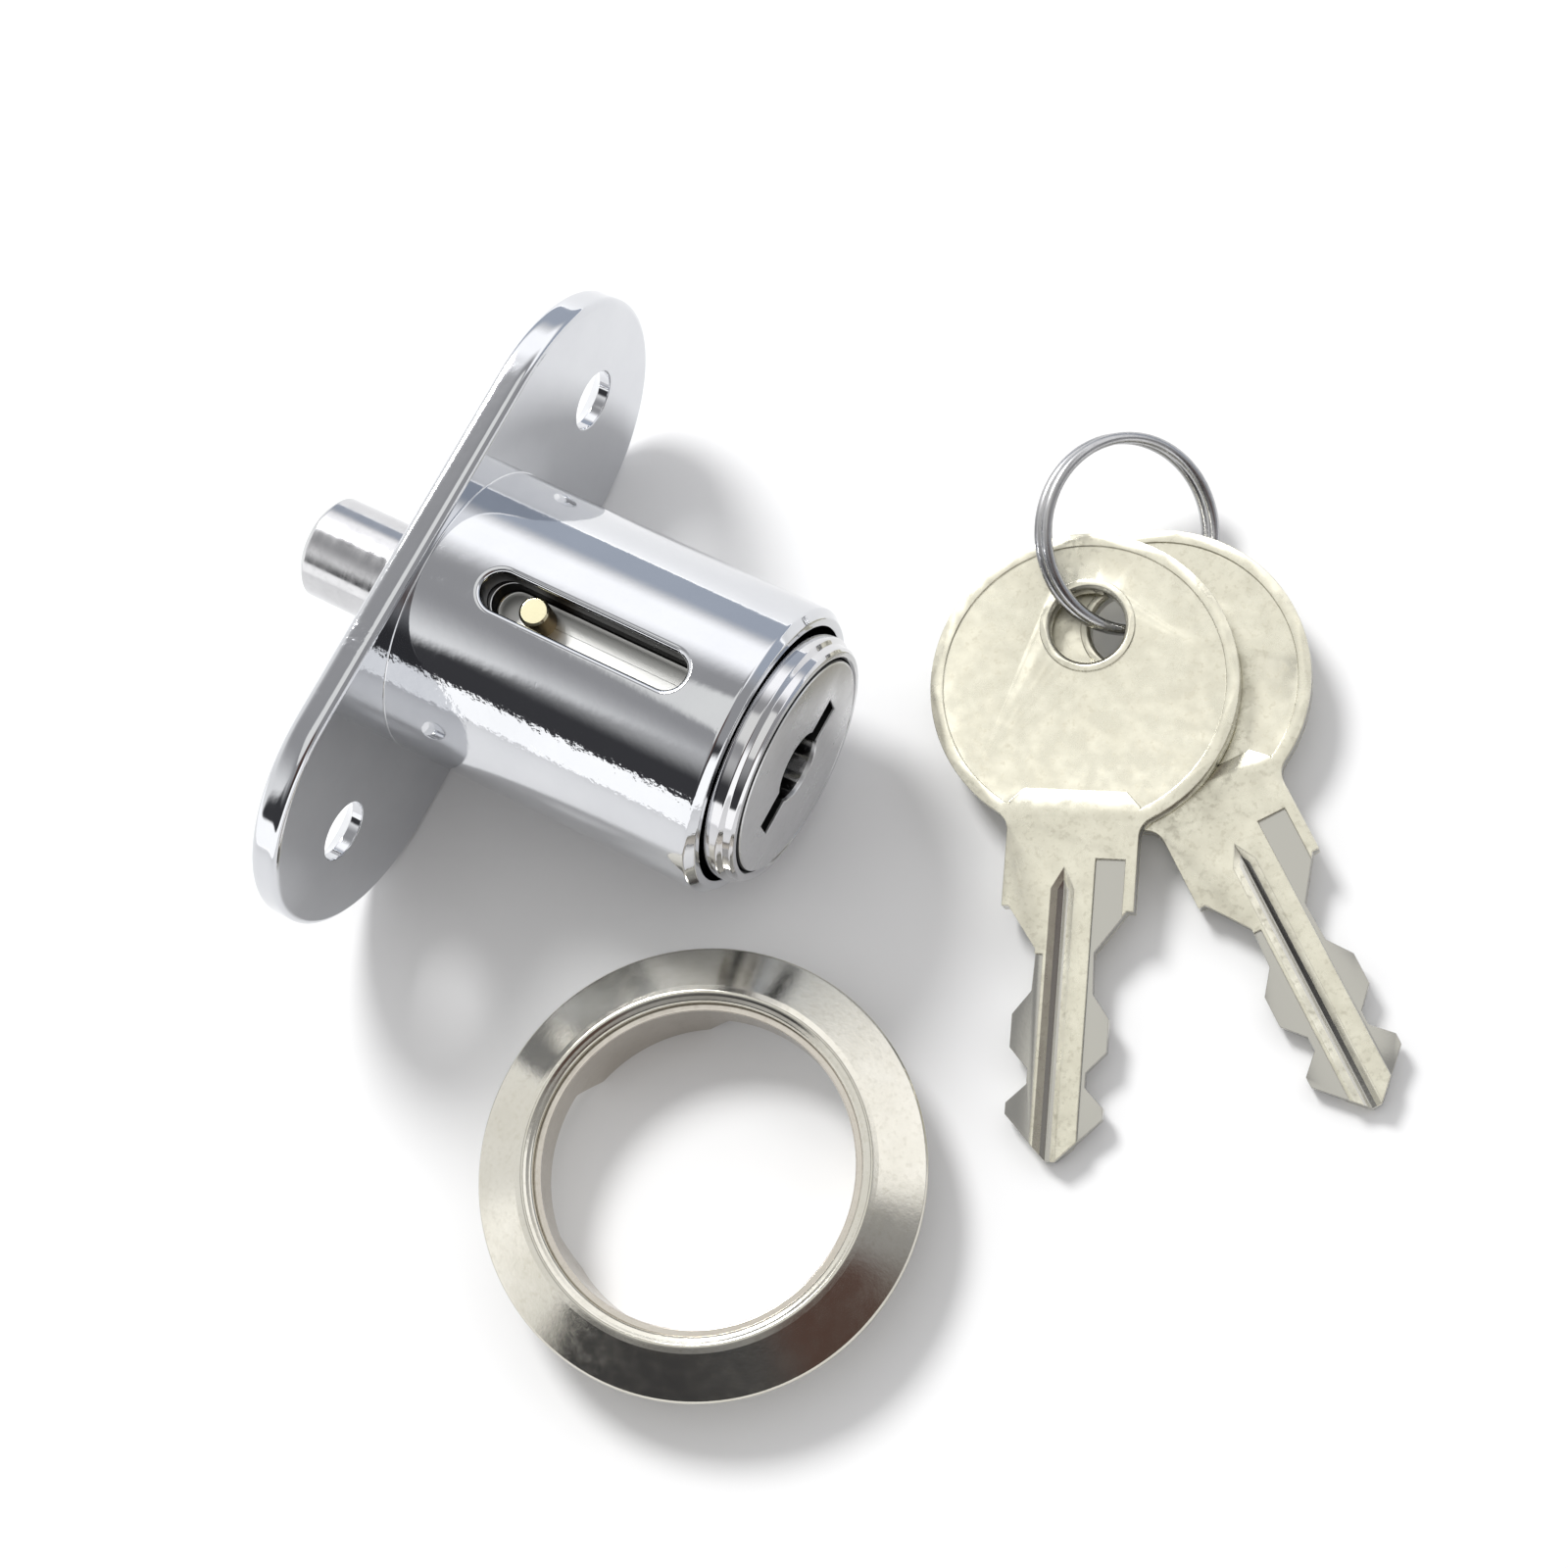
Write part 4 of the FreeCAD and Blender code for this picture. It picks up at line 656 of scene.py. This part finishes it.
def make_inside():
    """Surfaces inside that get another colour and roughness, mostly painted shade: 1 within Radius of the X
    axis, between
    From and To along it and within Half Height of its level."""
    tree, given, out = group("inside_shade_and_finish", [
        ("Place", "Vector", (0, 0, 0)), ("Radius", "Float", 0.009), ("From", "Float", 0.0),
        ("To", "Float", 0.021), ("Half Height", "Float", 1.0)], [("Mask", "Float")])
    x, y, z = node(tree, "SeparateXYZ", Vector=given["Place"]).outputs
    squares = maths(tree, "ADD", maths(tree, "MULTIPLY", y, y), maths(tree, "MULTIPLY", z, z))
    mask = maths(tree, "LESS_THAN", maths(tree, "SQRT", squares), given["Radius"])
    mask = maths(tree, "MULTIPLY", mask, maths(tree, "GREATER_THAN", x, given["From"]))
    mask = maths(tree, "MULTIPLY", mask, maths(tree, "LESS_THAN", x, given["To"]))
    low = maths(tree, "LESS_THAN", maths(tree, "ABSOLUTE", z), given["Half Height"])
    tree.links.new(maths(tree, "MULTIPLY", mask, low), out["Mask"])
    return tree


RIPPLE, BRUSHING, MOTTLE, INSIDE = make_ripple(), make_brushing(), make_mottle(), make_inside()


def effect(tree, shared, **values):
    """A shared effect placed on the object's coordinates, as its outputs."""
    return node(tree, "Group", {"node_tree": shared}, Place=object_place(tree), **values).outputs


# Finishes

def metal(name):
    """A new metal material: itself, its tree and its shader."""
    material = bpy.data.materials.new(name)
    material.use_nodes = True
    shader = material.node_tree.nodes["Principled BSDF"]
    shader.inputs["Metallic"].default_value = 1.0
    return material, material.node_tree, shader


def finish(tree, shader, spots, height, depth, wear, rough):
    """The effects put on the shader: the spots' colour, the height as a bump of that depth, and a roughness
    that goes from low to high with the spots' and the other effect's wear."""
    tree.links.new(spots["Color"], shader.inputs["Base Color"])
    bump = node(tree, "Bump", Height=height, Distance=depth)
    tree.links.new(bump.outputs[0], shader.inputs["Normal"])
    wear = maths(tree, "ADD", spots["Mask"], wear, True)
    tree.links.new(ranged(tree, wear, 0.0, 1.0, *rough, "LINEAR"), shader.inputs["Roughness"])


def make_chrome(name, clean, dull, waves, depth, pits, rough):
    """Bright plate over a casting: near mirror, slow waves, a few pits and a breath of haze."""
    material, tree, shader = metal(name)
    ripple = effect(tree, RIPPLE, Waves=waves, Pits=pits)
    haze = effect(tree, MOTTLE, Clean=(*clean, 1), Dull=(*dull, 1), Patches=180.0, Specks=0.1)
    finish(tree, shader, haze, ripple["Height"], depth, ripple["Pit"], rough)
    return material


def make_brushed(name, clean, dull, stretch, depth, rough, patches=260.0, specks=0.3):
    """Rolled, drawn or turned metal: fine lines one way under patches of handling."""
    material, tree, shader = metal(name)
    lines = effect(tree, BRUSHING, Stretch=stretch, Contrast=0.5)
    spots = effect(tree, MOTTLE, Clean=(*clean, 1), Dull=(*dull, 1), Patches=patches, Specks=specks)
    finish(tree, shader, spots, lines["Height"], depth, lines["Mask"], rough)
    return material


def layered(material, mask, colour, rough):
    """Another colour and roughness where the mask is 1, over what the material's shader has."""
    tree = material.node_tree
    shader = tree.nodes["Principled BSDF"]
    paint, grind = shader.inputs["Base Color"], shader.inputs["Roughness"]
    tree.links.new(mixed(tree, mask, paint.links[0].from_socket, (*colour, 1)), paint)
    coarse = node(tree, "Mix", Factor=mask, i2=grind.links[0].from_socket, i3=rough)
    tree.links.new(coarse.outputs[0], grind)


def dulled_and_shaded(material, radius, start, end, colour, rough, half_height=1000.0, beyond=0.0):
    """Another colour and roughness on the surfaces inside a radius about X between two places along it, in
    millimetres, and beyond a smaller radius for a seam. Dark colours here are painted shade in hollows and
    seams."""
    tree = material.node_tree
    span = {"From": start * MM, "To": end * MM}
    mask = effect(tree, INSIDE, Radius=radius * MM, Half_Height=half_height * MM, **span)["Mask"]
    if beyond:
        mask = maths(tree, "SUBTRACT", mask, effect(tree, INSIDE, Radius=beyond * MM, **span)["Mask"])
    layered(material, mask, colour, rough)


def faced_and_lit_end(material, height, colour, rough):
    """A faced end, smoother: another colour and roughness above a height in millimetres, where a paler colour
    is painted light on the top.
    """
    tree = material.node_tree
    up = node(tree, "SeparateXYZ", Vector=object_place(tree)).outputs[2]
    layered(material, maths(tree, "GREATER_THAN", up, height * MM), colour, rough)


def make_key_silver(node_name):
    """Tumbled nickel silver on the key's faces, and smoother metal where it was cut: the grooves, the steps
    and the edges, told by how far a point lies below the face. The cut places' darker grey is painted shade."""
    material, tree, shader = metal(f"{node_name}_silver")
    grain = effect(tree, BRUSHING, Stretch=(700, 700, 700), Contrast=0.5)
    spots = effect(tree, MOTTLE, Clean=(0.77, 0.745, 0.625, 1), Dull=(0.56, 0.535, 0.435, 1), Patches=480.0,
                   Specks=0.6)
    finish(tree, shader, spots, grain["Height"], 2.5e-6, grain["Mask"], (0.22, 0.38))
    mesh = frame["nodes"][node_name].data
    corners = np.zeros(len(mesh.vertices) * 3)
    mesh.vertices.foreach_get("co", corners)
    levels = corners.reshape(-1, 3) @ np.array(KEY_UPRIGHT)
    low, high = float(levels.min()), float(levels.max())
    level = node(tree, "VectorMath", {"operation": "DOT_PRODUCT"}, i0=object_place(tree), i1=KEY_UPRIGHT)
    from_middle = maths(tree, "SUBTRACT", level.outputs["Value"], (low + high) / 2)
    # Painted shade: the grooves, steps and edges below the face get a darker grey, and a smoother finish
    cut_level = (high - low) / 2 - 0.3 * MM
    cut = maths(tree, "LESS_THAN", maths(tree, "ABSOLUTE", from_middle), cut_level)
    layered(material, cut, (0.5, 0.49, 0.45), 0.16)
    return material


def coarser_plate(material, start, end, depth):
    """Orange peel on the side of the barrel away from the keys, between two distances out along -Y, in
    millimetres: fine noise under the ripple, faded in and out."""
    tree = material.node_tree
    place = object_place(tree)
    out = maths(tree, "MULTIPLY", node(tree, "SeparateXYZ", Vector=place).outputs[1], -1000.0)
    fade = maths(tree, "MULTIPLY", ranged(tree, out, start, start + 0.8), ranged(tree, out, end, end - 0.8))
    height = maths(tree, "MULTIPLY", noise(tree, place, 2400.0), fade)
    normal = tree.nodes["Principled BSDF"].inputs["Normal"]
    bump = node(tree, "Bump", Height=height, Distance=depth, Normal=normal.links[0].from_socket)
    tree.links.new(bump.outputs[0], normal)


chrome_housing = make_chrome("chrome_housing", (0.65, 0.66, 0.68), (0.6, 0.61, 0.635), 110.0, 3.5e-5, 0.5,
                             (0.03, 0.1))
# The slot's walls and the bore are near black and rougher: an unpolished cast finish, and painted shade in
# the hollow
dulled_and_shaded(chrome_housing, BARREL - 0.36, 0.3, 21.0, (0.07, 0.07, 0.07), 0.4)
coarser_plate(chrome_housing, 5.2, 7.9, 1.8e-5)

chrome_button = make_chrome("chrome_button", (0.65, 0.65, 0.66), (0.58, 0.58, 0.6), 160.0, 1.5e-5, 0.3,
                            (0.05, 0.14))
# The groove's walls are near black, painted shade in the groove; its floor, within a smaller radius, is left
# a satin grey
dulled_and_shaded(chrome_button, SLEEVE - 0.06, 3.5, 19.1, (0.02, 0.02, 0.02), 0.5)
dulled_and_shaded(chrome_button, GROOVE_FLOOR + 0.12, 0.0, 19.1, (0.6, 0.6, 0.58), 0.28)

# Painted light and shade on the pin: its faced top is pale, near white, as painted light, and the brass's
# dark brown on its sides is painted shade
pin_brass = make_brushed("pin_brass", (0.36, 0.25, 0.1), (0.28, 0.19, 0.07), (60, 60, 1500), 4e-6,
                         (0.3, 0.42))
faced_and_lit_end(pin_brass, 8.17, (0.95, 0.89, 0.6), 0.17)

plug_nickel = make_brushed("plug_nickel", (0.68, 0.68, 0.69), (0.62, 0.62, 0.63), (900, 120, 900), 1.5e-6,
                           (0.24, 0.36))
# The keyway, its round well and the seam between plug and button: painted shade, near black in the keyway's
# slots and the seam, a darker grey in the well
dulled_and_shaded(plug_nickel, 6.3, 0.0, 23.72, (0.03, 0.03, 0.03), 0.4, 0.97)
dulled_and_shaded(plug_nickel, 2.34, 0.0, 23.6, (0.3, 0.3, 0.3), 0.1)
dulled_and_shaded(plug_nickel, 20.0, 20.0, 30.0, (0.03, 0.03, 0.03), 0.4, beyond=6.98)

bolt_steel = make_brushed("bolt_steel", (0.6, 0.6, 0.61), (0.5, 0.5, 0.51), (1500, 60, 60), 4e-6, (0.08, 0.2))
rosette_nickel = make_brushed("rosette_nickel", (0.65, 0.63, 0.565), (0.57, 0.545, 0.47), (900, 900, 900),
                              6e-6, (0.1, 0.2), 240.0, 0.4)
sleeve_nickel = make_brushed("sleeve_nickel", (0.64, 0.6, 0.54), (0.54, 0.5, 0.44), (900, 900, 60), 4e-6,
                             (0.12, 0.25))
ring_steel = make_brushed("ring_steel", (0.5, 0.5, 0.51), (0.38, 0.38, 0.38), (500, 500, 500), 5e-6,
                          (0.18, 0.34))
spring_steel = make_brushed("spring_steel", (0.5, 0.5, 0.52), (0.38, 0.38, 0.39), (500, 500, 500), 4e-6,
                            (0.25, 0.4))
leaf_steel = make_brushed("leaf_steel", (0.45, 0.46, 0.5), (0.34, 0.34, 0.38), (90, 900, 900), 4e-6,
                          (0.25, 0.4))
rivet_steel = make_brushed("rivet_steel", (0.6, 0.6, 0.6), (0.5, 0.5, 0.5), (400, 400, 400), 6e-6,
                           (0.3, 0.45))
cam_steel = make_brushed("cam_steel", (0.58, 0.58, 0.6), (0.46, 0.46, 0.48), (900, 200, 200), 5e-6,
                         (0.28, 0.45))
clip_steel = make_brushed("clip_steel", (0.42, 0.42, 0.45), (0.32, 0.32, 0.34), (900, 200, 200), 4e-6,
                          (0.3, 0.45))
wafer_brass = make_brushed("wafer_brass", (0.83, 0.66, 0.36), (0.66, 0.5, 0.26), (900, 120, 900), 5e-6,
                           (0.22, 0.4))

lock_body()
button()
locking_bolt()
pin()
trim_ring()
trim_sleeve()
key_ring()
worked_copy("plug_core", "plug", "plug", plug_nickel, 0.07)
for name, key in (("front_key", "key_front"), ("back_key", "key_back")):
    worked_copy(name, key, key, make_key_silver(key), 0.045)

# Hidden pieces keep their solids
hidden = {"return_spring": spring_steel, "latch_leaf": leaf_steel, "leaf_rivet": rivet_steel,
          "cam_plate": cam_steel, "tail_clip": clip_steel}
hidden.update({f"wafer_{number}": wafer_brass for number in range(1, 6)})
hidden.update({f"wafer_spring_{number}": spring_steel for number in range(1, 6)})
for name, material in hidden.items():
    kept = frame["nodes"][name]
    kept.data.materials.clear()
    kept.data.materials.append(material)


# Floor, light and camera

# Studio patches, each laid over those before it, in degrees: bearing from and to and its softness,
# height from with its softness, height to with its softness, and the light. In order: a white wall on
# the bolt's side, a low grey wall on the far side with a window over it, a low light on the near side
# with a black card over it, a dark warm card on the key side, and the white overhead
PATCHES = [
    (138, 262, 10, -7, 8, 52, 12, (1.05, 1.05, 1.05)),
    (28, 156, 8, -10, 4, 22, 6, (0.5, 0.55, 0.64)),
    (28, 156, 6, 24, 8, 53, 8, (1.5, 1.5, 1.52)),
    (-155, -5, 5, -10, 4, 19, 2, (1.5, 1.5, 1.5)),
    (-122, -12, 2.5, 19, 1.2, 47, 13, (0.055, 0.055, 0.06)),
    (-44, 4, 9, 32, 8, 60, 8, (0.12, 0.07, 0.06)),
    (-200, 200, 1, 67.5, 1.5, 100, 1, (1.02, 1.02, 1.0)),
]
CEILING = (0.4, 0.4, 0.41, 1)


def make_floor():
    """A pale floor: it takes the light and the shadows, and adds a little of its own white where it is seen,
    and more of it far from the object, where the lamp doesn't reach."""
    side = 1.5
    mesh = bpy.data.meshes.new("floor")
    corners = np.array([(-side, -side), (side, -side), (side, side), (-side, side)])
    mesh.from_pydata(np.c_[corners, np.full(4, GROUND * MM - 1e-5)], [], [(0, 1, 2, 3)])
    floor = bpy.data.objects.new("floor", mesh)
    bpy.context.scene.collection.objects.link(floor)
    material = bpy.data.materials.new("pale_floor")
    material.use_nodes = True
    tree = material.node_tree
    shader = tree.nodes["Principled BSDF"]
    shader.inputs["Base Color"].default_value = (0.8, 0.8, 0.8, 1)
    shader.inputs["Roughness"].default_value = 1.0
    shader.inputs["Specular IOR Level"].default_value = 0.0
    shader.inputs["Emission Color"].default_value = (1, 1, 1, 1)
    ray = tree.nodes.new("ShaderNodeLightPath").outputs
    seen = maths(tree, "MAXIMUM", ray["Is Camera Ray"], ray["Is Glossy Ray"])
    seen = maths(tree, "MAXIMUM", seen, ray["Is Transmission Ray"])
    away = node(tree, "VectorMath", {"operation": "LENGTH"}, i0=object_place(tree)).outputs["Value"]
    own = maths(tree, "MULTIPLY", seen, ranged(tree, away, 0.22, 0.8, 0.04))
    tree.links.new(own, shader.inputs["Emission Strength"])
    mesh.materials.append(material)


def make_world():
    """A studio by direction: soft-edged patches of light and dark laid over a grey ceiling, white to the
    camera."""
    world = bpy.data.worlds.new("studio")
    bpy.context.scene.world = world
    world.use_nodes = True
    tree = world.node_tree
    back = tree.nodes["Background"]
    back.inputs["Strength"].default_value = 1.0
    way = tree.nodes.new("ShaderNodeTexCoord").outputs["Generated"]
    x, y, z = node(tree, "SeparateXYZ", Vector=way).outputs
    height = maths(tree, "ARCSINE", z)
    bearing = maths(tree, "ARCTAN2", y, x)
    colour = node(tree, "RGB").outputs[0]
    colour.default_value = CEILING
    for west, east, side, low, low_soft, high, high_soft, light in PATCHES:
        off = maths(tree, "SUBTRACT", bearing, math.radians((west + east) / 2))
        off = node(tree, "Math", {"operation": "WRAP"}, i0=off, i1=math.pi, i2=-math.pi).outputs[0]
        off = maths(tree, "ABSOLUTE", off)
        edges = ((off, (east - west) / 2, side), (height, high, high_soft), (height, low, -low_soft))
        along, under, over = [
            ranged(tree, value, math.radians(edge - soft), math.radians(edge + soft), 1.0, 0.0)
            for value, edge, soft in edges]
        mask = maths(tree, "MULTIPLY", maths(tree, "MULTIPLY", along, under), over)
        colour = mixed(tree, mask, colour, (*light, 1))
    seen = tree.nodes.new("ShaderNodeLightPath").outputs["Is Camera Ray"]
    tree.links.new(mixed(tree, seen, colour, (1, 1, 1, 1)), back.inputs["Color"])


def make_lamp():
    """One soft round lamp, high on the bolt's side."""
    place, aim = Vector((-0.33, 0.2, 0.42)), Vector((0.02, 0, 0))
    light = bpy.data.lights.new("key_light", "AREA")
    light.shape = "DISK"
    light.size = 0.19
    light.energy = 2.9
    lamp = bpy.data.objects.new("key_light", light)
    bpy.context.scene.collection.objects.link(lamp)
    lamp.location = place
    lamp.rotation_euler = (aim - place).to_track_quat("-Z", "Y").to_euler()


def make_camera():
    """The photograph's camera: its place in millimetres and its right, up and backward directions."""
    place = Vector((74.91, -34.59, 167.17))
    right, up, back = (0.8645, 0.4725, -0.1713), (-0.4117, 0.8613, 0.2978), (0.2882, -0.1869, 0.9391)
    lens = bpy.data.cameras.new("camera")
    lens.lens = 67.23
    lens.sensor_width = 36.0
    lens.clip_start = 0.01
    camera = bpy.data.objects.new("camera", lens)
    bpy.context.scene.collection.objects.link(camera)
    turn = Matrix((right, up, back)).transposed().to_4x4()
    camera.matrix_world = Matrix.Translation(place * MM) @ turn
    bpy.context.scene.camera = camera


make_floor()
make_world()
make_lamp()
make_camera()
bpy.context.scene.view_settings.view_transform = "Standard"
